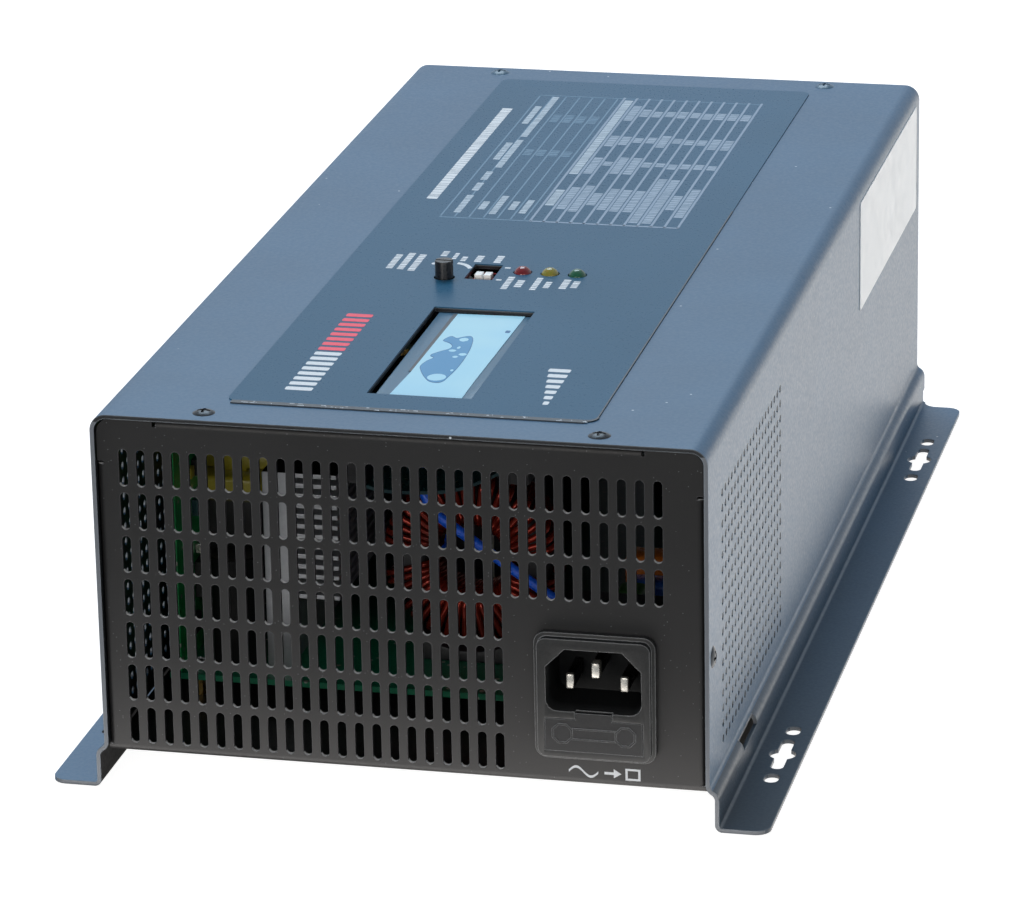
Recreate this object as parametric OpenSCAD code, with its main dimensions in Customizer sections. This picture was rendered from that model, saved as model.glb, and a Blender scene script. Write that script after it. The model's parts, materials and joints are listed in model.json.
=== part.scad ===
// Mains battery charger in a folded steel case.
// X runs across the width, Y from the vented front panel to the fan end, Z up from the feet.
// Sizes are in millimetres. Lengths along Y are counted from the cover's front edge.

/* [Cover] */
// outer width of the cover across its side walls
body_w = 159; // [120:0.5:200]
// length of the cover from front edge to rear edge
body_l = 341; // [250:1:400]
// height of the cover's top above the feet
body_h = 102; // [80:0.5:140]
// thickness of the steel sheet of cover and chassis
sheet = 1.1; // [0.8:0.1:1.6]
// outer radius of the bends between top and walls
bend_r = 4.4; // [2:0.1:8]
// sideways step of the wall where it becomes the leg
joggle = 2.35; // [1.2:0.05:4]
// height at which the straight leg ends and the step begins
joggle_z = 8.5; // [6:0.1:12]

/* [Feet] */
// reach of each foot flange beyond the side wall
foot_reach = 15; // [10:0.5:25]
// corner radius of the foot flanges
foot_corner_r = 4; // [1:0.5:8]
// distance from the rear edge at which the foot flanges end
foot_cut = 7.5; // [0:0.5:20]
// distance of the row of foot holes from the flange's outer edge
foot_hole_in = 5.5; // [4:0.1:9]
// distance of the front keyhole from the front edge
key_front = 50.6; // [30:0.1:80]
// distance of the rear keyhole from the rear edge
key_rear = 57; // [40:0.1:90]
// diameter of the round middle of a keyhole
key_d = 7; // [5:0.1:9]
// width of the slot of a keyhole
key_w = 3.4; // [2.5:0.1:5]
// length of the slot of a keyhole
key_l = 20; // [12:0.5:26]
// distance of the small slots from their keyhole
small_slot_off = 16.2; // [13:0.1:24]
// width of the small slots
small_slot_w = 3.8; // [2.5:0.1:5]
// length of the small slots
small_slot_l = 5.8; // [4:0.1:9]

/* [Wall perforation] */
// diameter of the round holes
perf_d = 2.1; // [1.5:0.1:3]
// distance of the first column from the front edge
perf_y = 18.3; // [12:0.1:40]
// pitch of the columns along the wall
perf_pitch_y = 4.3; // [3.5:0.05:6]
// number of columns
perf_cols = 20; // [5:1:30]
// height of the lowest row
perf_z = 18.1; // [14:0.1:30]
// pitch of the rows up the wall
perf_pitch_z = 4.15; // [3.5:0.05:6]
// number of rows
perf_rows = 17; // [5:1:20]
// front end of the slot in the leg's step
step_slot_y = 34; // [20:0.5:60]
// length of the slot in the leg's step
step_slot_l = 19; // [8:0.5:30]

/* [Chassis] */
// height of the underside of the chassis floor
floor_z = 9.9; // [6:0.1:14]
// distance of the front panel behind the cover's front edge
panel_y = 1.1; // [0:0.1:4]
// outer radius of the bends of the chassis
fold_r = 1.9; // [1.4:0.1:4]
// distance of the ends of a panel's top flange from the inside of the walls
lip_inset = 15.9; // [8:0.1:30]
// depth of the panel flanges
lip_depth = 13; // [8:0.5:20]
// distance of the side flanges' ends from the inside of the top
side_lip_drop = 12.5; // [5:0.1:40]
// width of the bend relief notches
notch_w = 0.9; // [0.5:0.1:2]

/* [Front vents] */
// width of a vent slot
vent_w = 2.3; // [1.5:0.1:4]
// length of a vent slot
vent_l = 10; // [6:0.1:16]
// pitch of the slots across a row
vent_pitch = 4.6; // [3.5:0.05:7]
// pitch of the rows
vent_row_pitch = 11.7; // [9:0.1:18]
// distance of the leftmost slot's middle from the inside of the left wall
vent_left = 7.02; // [5:0.01:20]
// least distance of the rightmost slot's middle from the inside of the right wall
vent_right = 11.5; // [5:0.1:20]
// distance of the top row's middle from the inside of the top
vent_top = 13.2; // [10:0.1:30]
// width kept free of slots beside and above the mains inlet
vent_inlet_gap = 3; // [1:0.1:8]

/* [Mains inlet] */
// centre of the inlet across the panel
inlet_x = 50.4; // [30:0.1:60]
// centre of the inlet flange above the feet
inlet_z = 34.6; // [25:0.1:60]
// width of the outer flange
inlet_w = 31.2; // [28:0.1:36]
// height of the outer flange
inlet_h = 34; // [30:0.1:40]
// thickness of the outer flange
inlet_t1 = 2; // [1:0.1:3]
// thickness of the inner step
inlet_t2 = 1.8; // [1:0.1:3]
// inset of the inner step from the outer flange
inlet_inset = 1.05; // [0.5:0.05:2]
// width of the connector cavity
cavity_w = 24.5; // [24:0.1:25]
// height of the connector cavity
cavity_h = 16.6; // [16:0.1:17.5]
// height of the cavity's bottom above the feet
cavity_z = 31.2; // [25:0.1:50]
// depth of the connector cavity
cavity_depth = 16; // [14:0.5:18]
// distance between the two power pins
pin_pitch = 14; // [13.8:0.1:14.2]
// width of the fuse drawer
drawer_w = 25; // [20:0.1:27]
// height of the fuse drawer
drawer_h = 8.6; // [7:0.1:10]
// height of the drawer's underside above the feet
drawer_z = 20.4; // [18:0.1:24]

/* [Top panel] */
// width of the printed film on the top
film_w = 96; // [80:0.5:120]
// distance of the film's front edge from the front edge
film_y = 18; // [10:0.5:30]
// distance of the film's rear edge from the rear edge
film_rear = 13.5; // [8:0.5:60]
// thickness of the film
film_t = 0.3; // [0.15:0.05:0.6]
// centre of the display opening across the top
lcd_x = -0.4; // [-10:0.1:10]
// width of the display opening
lcd_w = 27.4; // [20:0.1:32]
// front end of the display opening
lcd_y = 27.3; // [22:0.1:40]
// length of the display opening
lcd_l = 72.9; // [60:0.1:80]
// position of the current knob across the top
knob_x = -17.8; // [-25:0.1:-10]
// position of the current knob along the top
knob_y = 126; // [110:0.5:140]
// diameter of the current knob
knob_d = 5; // [4:0.1:8]
// height of the knob above the film
knob_h = 4.9; // [2:0.1:10]
// centre of the switch window across the top
dip_x = -7.75; // [-12:0.05:0]
// front end of the switch window
dip_y = 125.6; // [110:0.1:130]
// position of the first lamp across the top
lamp_x = 2.3; // [0:0.1:10]
// pitch of the lamps
lamp_pitch = 7.62; // [6:0.01:10]
// position of the lamps along the top
lamp_y = 133.9; // [120:0.1:145]
// diameter of a lamp
lamp_d = 5; // [3:0.1:6]

/* [Fasteners] */
// distance of the top screws from the middle
top_screw_x = 51; // [45:0.5:60]
// distance of the front screws from the front edge
screw_y = 6; // [4:0.1:10]
// diameter of a screw head
head_d = 5.8; // [5:0.1:7]
// height of a screw head
head_h = 0.9; // [0.6:0.1:2.5]
// height of the side screws
side_screw_z = 45.5; // [30:0.5:80]

/* [Label] */
// length of the blank label
label_l = 105; // [60:1:140]
// height of the blank label
label_h = 32.4; // [15:0.1:60]
// distance of the label's end from the rear edge
label_rear = 6.5; // [4:0.5:60]
// distance of the label's upper edge from the top
label_top = 4.6; // [4.5:0.1:30]

/* [Fan end] */
// height left over above the cooling fan, which stands on the bends of the floor
fan_room = 4.9; // [2:0.1:20]
// depth of the cooling fan
fan_depth = 25; // [15:1:38]
// distance of the fan from the inside of the left wall
fan_left = 10.4; // [3:0.1:30]
// number of fan blades
blades = 7; // [5:1:11]
// angle of the blades to the fan's plane
blade_tilt = 38; // [20:1:55]
// distance of the output studs from each other
stud_pitch = 24; // [18:1:30]
// distance of the outer stud from the inside of the right wall
stud_right = 18.4; // [12:0.1:30]
// diameter of an output stud
stud_d = 6; // [4:1:8]
// length of a stud outside its insulator's nut
stud_free = 6; // [4:0.5:14]

/* [Circuit board] */
// height of the standoffs under the main board
standoff_h = 6; // [4:0.5:12]
// thickness of the boards
board_t = 1.6; // [1:0.1:2]
// distance of the board's front edge from the front edge
board_y = 35; // [30:1:60]
// gap between the main board and the cooling fan
board_gap = 13.8; // [3:0.1:60]
// gap between the main board and the side walls
board_side = 6.4; // [3:0.1:20]

/* [Parts on the main board] */
// distance of the transformer's middle from the inside of the left wall
transformer_in = 17.4; // [16:0.1:24]
// height of the transformer
transformer_h = 51; // [40:1:60]
// distance of the heatsink's plate from the inside of the left wall
sink_in = 30.8; // [30.5:0.1:40]
// thickness of the heatsink's plate
sink_t = 6.6; // [3:0.1:8]
// height of the heatsink
sink_h = 54.6; // [40:0.1:60]
// length of the heatsink
sink_l = 150; // [80:1:170]
// number of fins
sink_fins = 13; // [4:1:18]
// pitch of the fins
fin_pitch = 2.8; // [2.4:0.1:6]
// gap between the fins' ends and the choke
sink_gap = 7.4; // [1:0.1:10]
// outer radius of the ring choke
choke_r = 24; // [15:0.5:24.5]
// diameter of the storage capacitors
bulk_d = 35; // [25:1:35]
// height of the storage capacitors
bulk_h = 46; // [30:1:55]
// diameter of the output capacitors
output_d = 18; // [12:1:22]
// height of the output capacitors
output_h = 36; // [20:1:45]

/* [Hidden] */

half_w = body_w / 2;
inner_w = half_w - sheet;
inner_top = body_h - sheet;
leg_out = half_w + joggle;
key_y = [key_front, body_l - key_rear];
film_l = body_l - film_y - film_rear;
foot_r_in = 0.8;
foot_r_out = foot_r_in + sheet;
foot_half = half_w + foot_reach;
foot_hole_x = foot_half - foot_hole_in;
lip_half = inner_w - lip_inset;
floor_top = floor_z + sheet;
face_z0 = floor_z + fold_r;
face_half = inner_w - fold_r;
face_top = inner_top - fold_r;
panel_in = panel_y + sheet;
rear_out = body_l - panel_y;
rear_in = rear_out - sheet;
face_y = panel_y - inlet_t1 - inlet_t2;
side_lip_top = inner_top - side_lip_drop;
vent_x = -inner_w + vent_left;
vent_z = inner_top - vent_top;
vent_cols = 1 + floor((2 * inner_w - vent_left - vent_right) / vent_pitch);
vent_free_x = inlet_x - inlet_w / 2 - vent_inlet_gap - vent_w / 2;
vent_cols_short = 1 + floor((vent_free_x - vent_x) / vent_pitch) - 1;
vent_rows = 1 + floor((vent_z - vent_l / 2 - face_z0 - 0.5) / vent_row_pitch);
vent_rows_full = 1 + floor((vent_z - vent_l / 2 - inlet_z - inlet_h / 2 - vent_inlet_gap) / vent_row_pitch);
cavity_mid_z = cavity_z + cavity_h / 2;
board_z = floor_top + standoff_h;
board_top = board_z + board_t;
board_y2 = rear_in - fan_depth - board_gap;
board_half = inner_w - board_side;
lcd_board_z = inner_top - 8.5;
lcd_front = inner_top + 0.1;
control_z = inner_top - 13.9;
control_top = control_z + board_t;
transformer_x = -inner_w + transformer_in;
sink_x = -inner_w + sink_in;
choke_x = 4;
choke_y = 66;
choke_z = board_top + 3.4 + choke_r;
small_choke_x = choke_x + 33;
fin_l = choke_x - choke_r - sink_gap - sink_x - sink_t;
earth_x = inner_w - 8.4;
earth_y = 20;
fan_size = inner_top - floor_top - 5 - fan_room;
fan_x = -inner_w + fan_left + fan_size / 2;
fan_z = floor_top + 5 + fan_size / 2;
fan_hole = (fan_size - 8.5) / 2;
stud_x = inner_w - stud_right - stud_pitch / 2;
film_top = body_h + film_t;
collar_t = 5;
nut_t = 5;
stud_end = rear_out + collar_t + nut_t + stud_free;
y_low = face_y - 0.2;
mid_y = (y_low + stud_end) / 2;
rear_screw_y = body_l - screw_y + 0.5;
steel_paint = [0.42, 0.53, 0.62];
black_paint = [0.19, 0.19, 0.19];
board_green = [0.1, 0.33, 0.17];

module place() {
    translate([0, -mid_y, 0])
        children();
}

module both_sides() {
    children();
    mirror([1, 0, 0])
        children();
}

// flat ring sector with sharp radial ends
module ring_2d(r_in, r_out, a0, a1) {
    reach = r_out * 2;
    am = (a0 + a1) / 2;
    intersection() {
        difference() {
            circle(r = r_out, $fn = 64);
            circle(r = r_in, $fn = 64);
        }
        polygon([[0, 0], [reach * cos(a0), reach * sin(a0)], [reach * cos(am), reach * sin(am)],
            [reach * cos(a1), reach * sin(a1)]]);
    }
}

module obround_2d(w, l) {
    translate([-w / 2, -(l - w) / 2])
        square([w, l - w]);
    translate([0, (l - w) / 2])
        circle(d = w, $fn = 32);
    translate([0, -(l - w) / 2])
        circle(d = w, $fn = 32);
}

module rounded_2d(w, h, r) {
    translate([-w / 2, -h / 2 + r])
        square([w, h - 2 * r]);
    translate([-w / 2 + r, -h / 2])
        square([w - 2 * r, h]);
    for (sx = [-1, 1])
        for (sz = [-1, 1])
            translate([sx * (w / 2 - r), sz * (h / 2 - r)])
                circle(r = r, $fn = 32);
}

// extrusion of a shape drawn in X and Z, running from y0 to y1
module along_y(y0, y1) {
    translate([0, y1, 0])
        rotate([90, 0, 0])
            linear_extrude(height = y1 - y0)
                children();
}

// extrusion of a shape drawn in Y and Z, running from x0 to x1
module along_x(x0, x1) {
    translate([x0, 0, 0])
        rotate([90, 0, 90])
            linear_extrude(height = x1 - x0)
                children();
}

module rod(p, q, d) {
    v = q - p;
    len = norm(v);
    translate(p)
        rotate([0, acos(v[2] / len), atan2(v[1], v[0])])
            cylinder(h = len, d = d, $fn = 60);
}

module ball(p, d) {
    translate(p)
        sphere(d = d, $fn = 60);
}

// bent wire through a list of points, a little thicker at each bend
module wire(points, d) {
    for (i = [0 : len(points) - 2])
        rod(points[i], points[i + 1], d);
    for (i = [1 : len(points) - 2])
        ball(points[i], d * 1.12);
}

// pan head screw pointing down from z = 0, with a cross recess
module screw(d_head, h_head, d_shank, l_shank) {
    difference() {
        union() {
            intersection() {
                cylinder(h = h_head, d = d_head, $fn = 48);
                translate([0, 0, h_head - d_head * 0.9])
                    sphere(r = d_head * 0.9, $fn = 64);
            }
            translate([0, 0, -l_shank])
                cylinder(h = l_shank + 0.2, d = d_shank, $fn = 24);
        }
        for (a = [0, 90])
            rotate([0, 0, a])
                translate([-d_head * 0.29, -d_head * 0.07, h_head * 0.3])
                    cube([d_head * 0.58, d_head * 0.14, h_head]);
    }
}

module leg_2d() {
    mid = sheet / 2;
    step_r = joggle / (2 * (1 - cos(60)));
    step_h = step_r * sin(60);
    translate([half_w - mid + step_r, joggle_z + 2 * step_h])
        ring_2d(step_r - mid, step_r + mid, 180, 240);
    translate([leg_out - mid - step_r, joggle_z])
        ring_2d(step_r - mid, step_r + mid, 0, 60);
    translate([leg_out - sheet, foot_r_out])
        square([sheet, joggle_z - foot_r_out]);
    translate([leg_out + foot_r_in, foot_r_out])
        ring_2d(foot_r_in, foot_r_out, 180, 270);
}

module foot_plan_2d() {
    y2 = body_l - foot_cut;
    x0 = leg_out + foot_r_in;
    relief = 4;
    difference() {
        union() {
            translate([x0, 0])
                square([foot_half - foot_corner_r - x0, y2]);
            translate([x0, foot_corner_r])
                square([foot_half - x0, y2 - 2 * foot_corner_r]);
            for (y = [foot_corner_r, y2 - foot_corner_r])
                translate([foot_half - foot_corner_r, y])
                    circle(r = foot_corner_r, $fn = 48);
            difference() {
                translate([x0, y2])
                    square([relief, relief]);
                translate([x0 + relief, y2 + relief])
                    circle(r = relief, $fn = 48);
            }
        }
        for (yk = key_y) {
            translate([foot_hole_x, yk])
                circle(d = key_d, $fn = 48);
            translate([foot_hole_x, yk])
                obround_2d(key_w, key_l);
            for (s = [-1, 1])
                translate([foot_hole_x, yk + s * small_slot_off])
                    obround_2d(small_slot_w, small_slot_l);
        }
    }
}

module cover_side() {
    wall_z0 = joggle_z + 2 * joggle * sin(60);
    along_x(inner_w, half_w)
        difference() {
            translate([0, wall_z0])
                square([body_l, body_h - bend_r - wall_z0]);
            for (i = [0 : perf_cols - 1])
                for (k = [0 : perf_rows - 1])
                    translate([perf_y + perf_pitch_y * i, perf_z + perf_pitch_z * k])
                        circle(d = perf_d, $fn = 16);
            translate([screw_y - 1, side_screw_z])
                circle(d = 3.4, $fn = 24);
        }
    along_y(0, body_l)
        translate([half_w - bend_r, body_h - bend_r])
            ring_2d(bend_r - sheet, bend_r, 0, 90);
    difference() {
        along_y(0, body_l)
            leg_2d();
        translate([inner_w, step_slot_y, joggle_z - 0.4])
            cube([5, step_slot_l, 2.8]);
        translate([leg_out - sheet - 1, body_l - 2.6, -1])
            cube([6, 5, 5.4]);
        translate([leg_out, body_l - foot_cut + 4, -1])
            cube([6, 10, 2.9]);
    }
    linear_extrude(height = sheet)
        foot_plan_2d();
}

module cover() {
    color(steel_paint)
    place() {
        both_sides()
            cover_side();
        translate([0, 0, inner_top])
            linear_extrude(height = sheet)
                difference() {
                    translate([-half_w + bend_r, 0])
                        square([body_w - 2 * bend_r, body_l]);
                    translate([lcd_x - lcd_w / 2, lcd_y])
                        square([lcd_w, lcd_l]);
                    translate([knob_x, knob_y])
                        circle(d = 7, $fn = 32);
                    translate([dip_x - 4.45, dip_y])
                        square([7.8, 13.8]);
                    for (i = [0 : 2])
                        translate([lamp_x + lamp_pitch * i, lamp_y])
                            circle(d = lamp_d + 0.3, $fn = 32);
                    for (sx = [-1, 1])
                        for (y = [screw_y, rear_screw_y])
                            translate([sx * top_screw_x, y])
                                circle(d = 3.4, $fn = 24);
                }
    }
}

module panel_outline_2d() {
    corner = 3.8;
    edge = inner_w - 0.3;
    top = inner_top - 0.3;
    translate([-face_half, face_z0])
        square([2 * face_half, face_top - face_z0]);
    for (s = [-1, 1])
        translate([s * (lip_half + notch_w + (edge - corner - lip_half - notch_w) / 2), face_top - 1])
            translate([-(edge - corner - lip_half - notch_w) / 2, 0])
                square([edge - corner - lip_half - notch_w, top - face_top + 1]);
    for (s = [-1, 1])
        translate([s * (edge - 5), (side_lip_top + notch_w + top - corner) / 2])
            translate([-5, -(top - corner - side_lip_top - notch_w) / 2])
                square([10, top - corner - side_lip_top - notch_w]);
    for (s = [-1, 1])
        translate([s * (edge - corner), top - corner])
            circle(r = corner, $fn = 48);
}

// bends and flanges around a panel whose outer face is at y = 0 and whose flanges point to +y
module lips() {
    along_x(-lip_half, lip_half)
        union() {
            translate([fold_r, inner_top - fold_r])
                ring_2d(fold_r - sheet, fold_r, 90, 180);
            translate([fold_r, inner_top - sheet])
                square([lip_depth - fold_r, sheet]);
        }
    both_sides()
        translate([0, 0, face_z0])
            linear_extrude(height = side_lip_top - face_z0)
                union() {
                    translate([inner_w - fold_r, fold_r])
                        ring_2d(fold_r - sheet, fold_r, 270, 360);
                    translate([inner_w - sheet, fold_r])
                        square([sheet, lip_depth - fold_r]);
                }
}

module front_vents_2d() {
    for (r = [0 : vent_rows - 1])
        for (i = [0 : (r < vent_rows_full ? vent_cols : vent_cols_short) - 1])
            translate([vent_x + vent_pitch * i, vent_z - vent_row_pitch * r])
                obround_2d(vent_w, vent_l);
}

module chassis() {
    color(black_paint)
    place() {
        difference() {
            union() {
                along_y(panel_y, panel_in)
                    difference() {
                        panel_outline_2d();
                        front_vents_2d();
                        translate([inlet_x - 13.5, drawer_z - 1.1])
                            square([27, 30.7]);
                    }
                translate([0, panel_y, 0])
                    lips();
                along_y(rear_in, rear_out)
                    difference() {
                        panel_outline_2d();
                        translate([fan_x, fan_z])
                            difference() {
                                for (k = [0 : 3])
                                    difference() {
                                        circle(r = fan_size / 2 - 3 - 7 * k, $fn = 64);
                                        circle(r = fan_size / 2 - 7 - 7 * k, $fn = 64);
                                    }
                                for (a = [45, 135])
                                    rotate(a)
                                        square([5, 100], center = true);
                            }
                        for (sx = [-1, 1])
                            for (sz = [-1, 1])
                                translate([fan_x + sx * fan_hole, fan_z + sz * fan_hole])
                                    circle(d = 4.5, $fn = 24);
                        for (s = [-1, 1])
                            translate([stud_x + s * stud_pitch / 2, fan_z])
                                circle(d = 10, $fn = 32);
                    }
                translate([0, rear_out, 0])
                    mirror([0, 1, 0])
                        lips();
                along_x(-inner_w, inner_w)
                    union() {
                        translate([panel_y + fold_r, face_z0])
                            ring_2d(fold_r - sheet, fold_r, 180, 270);
                        translate([rear_out - fold_r, face_z0])
                            ring_2d(fold_r - sheet, fold_r, 270, 360);
                        translate([panel_y + fold_r, floor_z])
                            square([rear_out - panel_y - 2 * fold_r, sheet]);
                    }
            }
            for (sx = [-1, 1])
                for (y = [screw_y, rear_screw_y])
                    translate([sx * top_screw_x, y, inner_top - sheet - 1])
                        cylinder(h = sheet + 2, d = 3, $fn = 24);
            for (s = [-1, 1])
                translate([s * (inner_w - sheet / 2), screw_y - 1, side_screw_z])
                    rotate([0, 90, 0])
                        cylinder(h = sheet + 2, d = 3, center = true, $fn = 24);
        }
    }
}

module top_film() {
    color([0.33, 0.45, 0.56])
    place()
        translate([0, 0, body_h])
            linear_extrude(height = film_t)
                difference() {
                    translate([0, film_y + film_l / 2])
                        rounded_2d(film_w, film_l, 3);
                    translate([lcd_x - lcd_w / 2, lcd_y])
                        square([lcd_w, lcd_l]);
                    translate([knob_x, knob_y])
                        circle(d = knob_d + 0.8, $fn = 32);
                    translate([dip_x - 4.45, dip_y])
                        square([7.8, 13.8]);
                    for (i = [0 : 2])
                        translate([lamp_x + lamp_pitch * i, lamp_y])
                            circle(d = lamp_d + 0.3, $fn = 32);
                }
}

module cover_screws() {
    color([0.6, 0.62, 0.64])
    place() {
        for (sx = [-1, 1])
            for (y = [screw_y, rear_screw_y])
                translate([sx * top_screw_x, y, body_h])
                    screw(head_d, head_h, 2.9, 5);
        both_sides()
            translate([half_w, screw_y - 1, side_screw_z])
                rotate([0, 90, 0])
                    screw(head_d, head_h, 2.9, 5);
    }
}

module rating_sticker() {
    color([0.93, 0.95, 0.96])
    place()
        along_x(half_w, half_w + 0.2)
            translate([body_l - label_rear - label_l / 2, body_h - label_top - label_h / 2])
                rounded_2d(label_l, label_h, 1);
}

module cavity_2d() {
    cut = 4.9;
    w = cavity_w / 2;
    r = 3;
    union() {
        polygon([[-w, r], [w, r], [w, cavity_h - cut], [w - cut, cavity_h], [-w + cut, cavity_h],
            [-w, cavity_h - cut]]);
        translate([-w + r, 0])
            square([2 * w - 2 * r, r]);
        for (s = [-1, 1])
            translate([s * (w - r), r])
                circle(r = r, $fn = 32);
    }
}

module inlet_body() {
    channel = 0.15;
    color([0.13, 0.13, 0.14])
    place()
        difference() {
            union() {
                along_y(panel_y - inlet_t1, panel_y)
                    translate([inlet_x, inlet_z])
                        rounded_2d(inlet_w, inlet_h, 3.2);
                along_y(face_y, panel_y - inlet_t1)
                    translate([inlet_x, inlet_z])
                        rounded_2d(inlet_w - 2 * inlet_inset, inlet_h - 2 * inlet_inset, 2.4);
                translate([inlet_x - 13.5, panel_y, drawer_z - 1.1])
                    cube([27, 32, 30.7]);
            }
            along_y(face_y - 1, face_y + cavity_depth)
                translate([inlet_x, cavity_z])
                    cavity_2d();
            translate([inlet_x - drawer_w / 2 - channel, face_y - 1, drawer_z])
                cube([drawer_w + 2 * channel, 28, drawer_h + channel]);
            translate([inlet_x - 4.8, face_y - 1, drawer_z + drawer_h])
                cube([9.6, 2.4, 2.4]);
            for (p = [[-pin_pitch / 2, -2], [pin_pitch / 2, -2], [0, 2]])
                translate([inlet_x + p[0] - 1, face_y + cavity_depth - 1, cavity_mid_z + p[1] - 2])
                    cube([2, 40, 4]);
        }
}

module inlet_pins() {
    color([0.8, 0.8, 0.82])
    place()
        for (p = [[-pin_pitch / 2, -2, 1.9], [pin_pitch / 2, -2, 1.9], [0, 2, 0.2]])
            translate([inlet_x + p[0], 0, cavity_mid_z + p[1]]) {
                translate([-1, p[2], -2])
                    cube([2, panel_y + 32 - p[2], 4]);
                translate([-0.4, panel_y + 32, -2])
                    cube([0.8, 8, 4]);
            }
}

module fuse_drawer() {
    icon = 2.9;
    color([0.15, 0.15, 0.16])
    place()
        difference() {
            union() {
                translate([inlet_x - drawer_w / 2, face_y, drawer_z])
                    cube([drawer_w, 1.5, drawer_h]);
                translate([inlet_x - 4.6, face_y, drawer_z + drawer_h - 0.01])
                    cube([9.2, 1.2, 1.9]);
                translate([inlet_x - drawer_w / 2 + 0.6, face_y + 1.49, drawer_z])
                    cube([drawer_w - 1.2, 22.5, drawer_h - 0.4]);
                for (s = [-1, 1])
                    translate([inlet_x + s * 8.1, face_y, drawer_z + 4.8])
                        rotate([90, 22.5, 0])
                            difference() {
                                cylinder(r = icon, h = 0.2, $fn = 8);
                                translate([0, 0, -1])
                                    cylinder(r = icon - 0.5, h = 3, $fn = 8);
                            }
                for (z = [-1.6, 1.2])
                    translate([inlet_x - 5.6, face_y - 0.2, drawer_z + 4.8 + z])
                        cube([11.2, 0.3, 0.4]);
            }
            translate([inlet_x - 10.4, 14, drawer_z + 4.4])
                rotate([0, 90, 0])
                    cylinder(h = 20.8, r = 2.7, $fn = 32);
            translate([inlet_x - 10.4, 14 - 2.7, drawer_z + 4.4])
                cube([20.8, 5.4, 10]);
        }
}

module fuse_glass() {
    color([0.8, 0.9, 0.92, 0.4])
    place()
        translate([inlet_x - 7, 14, drawer_z + 4.4])
            rotate([0, 90, 0])
                difference() {
                    cylinder(h = 14, r = 2.3, $fn = 32);
                    translate([0, 0, -1])
                        cylinder(h = 16, r = 1.8, $fn = 32);
                }
}

module fuse_caps() {
    color([0.8, 0.8, 0.82])
    place()
        for (s = [-1, 1])
            translate([inlet_x + s * 8.6, 14, drawer_z + 4.4])
                rotate([0, 90, 0])
                    cylinder(h = 3.2, r = 2.6, center = true, $fn = 32);
}

module lcd_board() {
    color(board_green)
    place()
        difference() {
            translate([lcd_x - 17.8, lcd_y - 3.6, lcd_board_z])
                cube([36, 80, board_t]);
            for (x = [2.5, 33.5])
                for (y = [2.5, 77.5])
                    translate([lcd_x - 17.8 + x, lcd_y - 3.6 + y, lcd_board_z - 1])
                        cylinder(h = board_t + 2, d = 2.6, $fn = 24);
        }
}

module lcd_spacers() {
    color([0.78, 0.62, 0.3])
    place()
        for (x = [2.5, 33.5])
            for (y = [2.5, 77.5])
                translate([lcd_x - 17.8 + x, lcd_y - 3.6 + y, lcd_board_z + board_t]) {
                    cylinder(h = inner_top - lcd_board_z - board_t, d = 3.2, $fn = 6);
                    translate([0, 0, -board_t - 1.5])
                        cylinder(h = board_t + 1.6, d = 2.5, $fn = 24);
                    translate([0, 0, -board_t - 1.9])
                        cylinder(h = 1.9, d = 5, $fn = 6);
                }
}

module lcd_frame() {
    depth = lcd_front - lcd_board_z - board_t;
    color([0.3, 0.33, 0.36])
    place()
        translate([lcd_x - 12.3, lcd_y + 0.6, lcd_board_z + board_t])
            difference() {
                cube([25.8, 71.5, depth]);
                translate([0.6, 0.6, -1])
                    cube([24.6, 70.3, depth + 0.4]);
                translate([4.6, 3.5, 0])
                    cube([16.4, 64.5, depth + 1]);
            }
}

module lcd_glass() {
    color([0.55, 0.66, 0.6])
    place()
        translate([lcd_x - 11.7, lcd_y + 1.2, lcd_front - 3.4])
            cube([24.6, 70.3, 2.8]);
}

module lcd_light() {
    color([0.86, 0.88, 0.84])
    place()
        translate([lcd_x - 11.7, lcd_y + 1.2, lcd_board_z + board_t])
            cube([24.6, 70.3, lcd_front - 3.4 - lcd_board_z - board_t]);
}

module lcd_film() {
    color([0.66, 0.8, 0.93])
    place()
        translate([lcd_x - 8, lcd_y + 0.8, lcd_front])
            cube([19.3, 71.1, 0.15]);
}

module control_board() {
    color(board_green)
    place()
        difference() {
            translate([-30, 108, control_z])
                cube([60, 44, board_t]);
            for (x = [-26.5, 26.5])
                for (y = [111.5, 148.5])
                    translate([x, y, control_z - 1])
                        cylinder(h = board_t + 2, d = 3.2, $fn = 24);
        }
}

module control_spacers() {
    color([0.78, 0.62, 0.3])
    place()
        for (x = [-26.5, 26.5])
            for (y = [111.5, 148.5])
                translate([x, y, control_top]) {
                    cylinder(h = inner_top - control_top, d = 5.5, $fn = 6);
                    translate([0, 0, -board_t - 0.1])
                        cylinder(h = board_t + 0.2, d = 3.1, $fn = 24);
                    translate([0, 0, -board_t - 2])
                        cylinder(h = 2, d = 5.6, $fn = 32);
                }
}

module trimmer_body() {
    color([0.15, 0.22, 0.4])
    place()
        translate([knob_x, knob_y, control_top])
            difference() {
                translate([-4.9, -4.9, 0])
                    cube([9.8, 9.8, 5]);
                translate([0, 0, 2])
                    cylinder(h = 10, d = 3.1, $fn = 32);
            }
}

module current_knob() {
    base = control_top;
    top = film_top + knob_h;
    color([0.12, 0.12, 0.12])
    place()
        translate([knob_x, knob_y, 0])
            difference() {
                union() {
                    translate([0, 0, base + 2])
                        cylinder(h = 3.5, d = 3, $fn = 32);
                    translate([0, 0, base + 5.1])
                        cylinder(h = top - base - 5.1, d = knob_d, $fn = 48);
                }
                translate([-knob_d, -0.4, top - 1])
                    cube([2 * knob_d, 0.8, 2]);
            }
}

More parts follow.
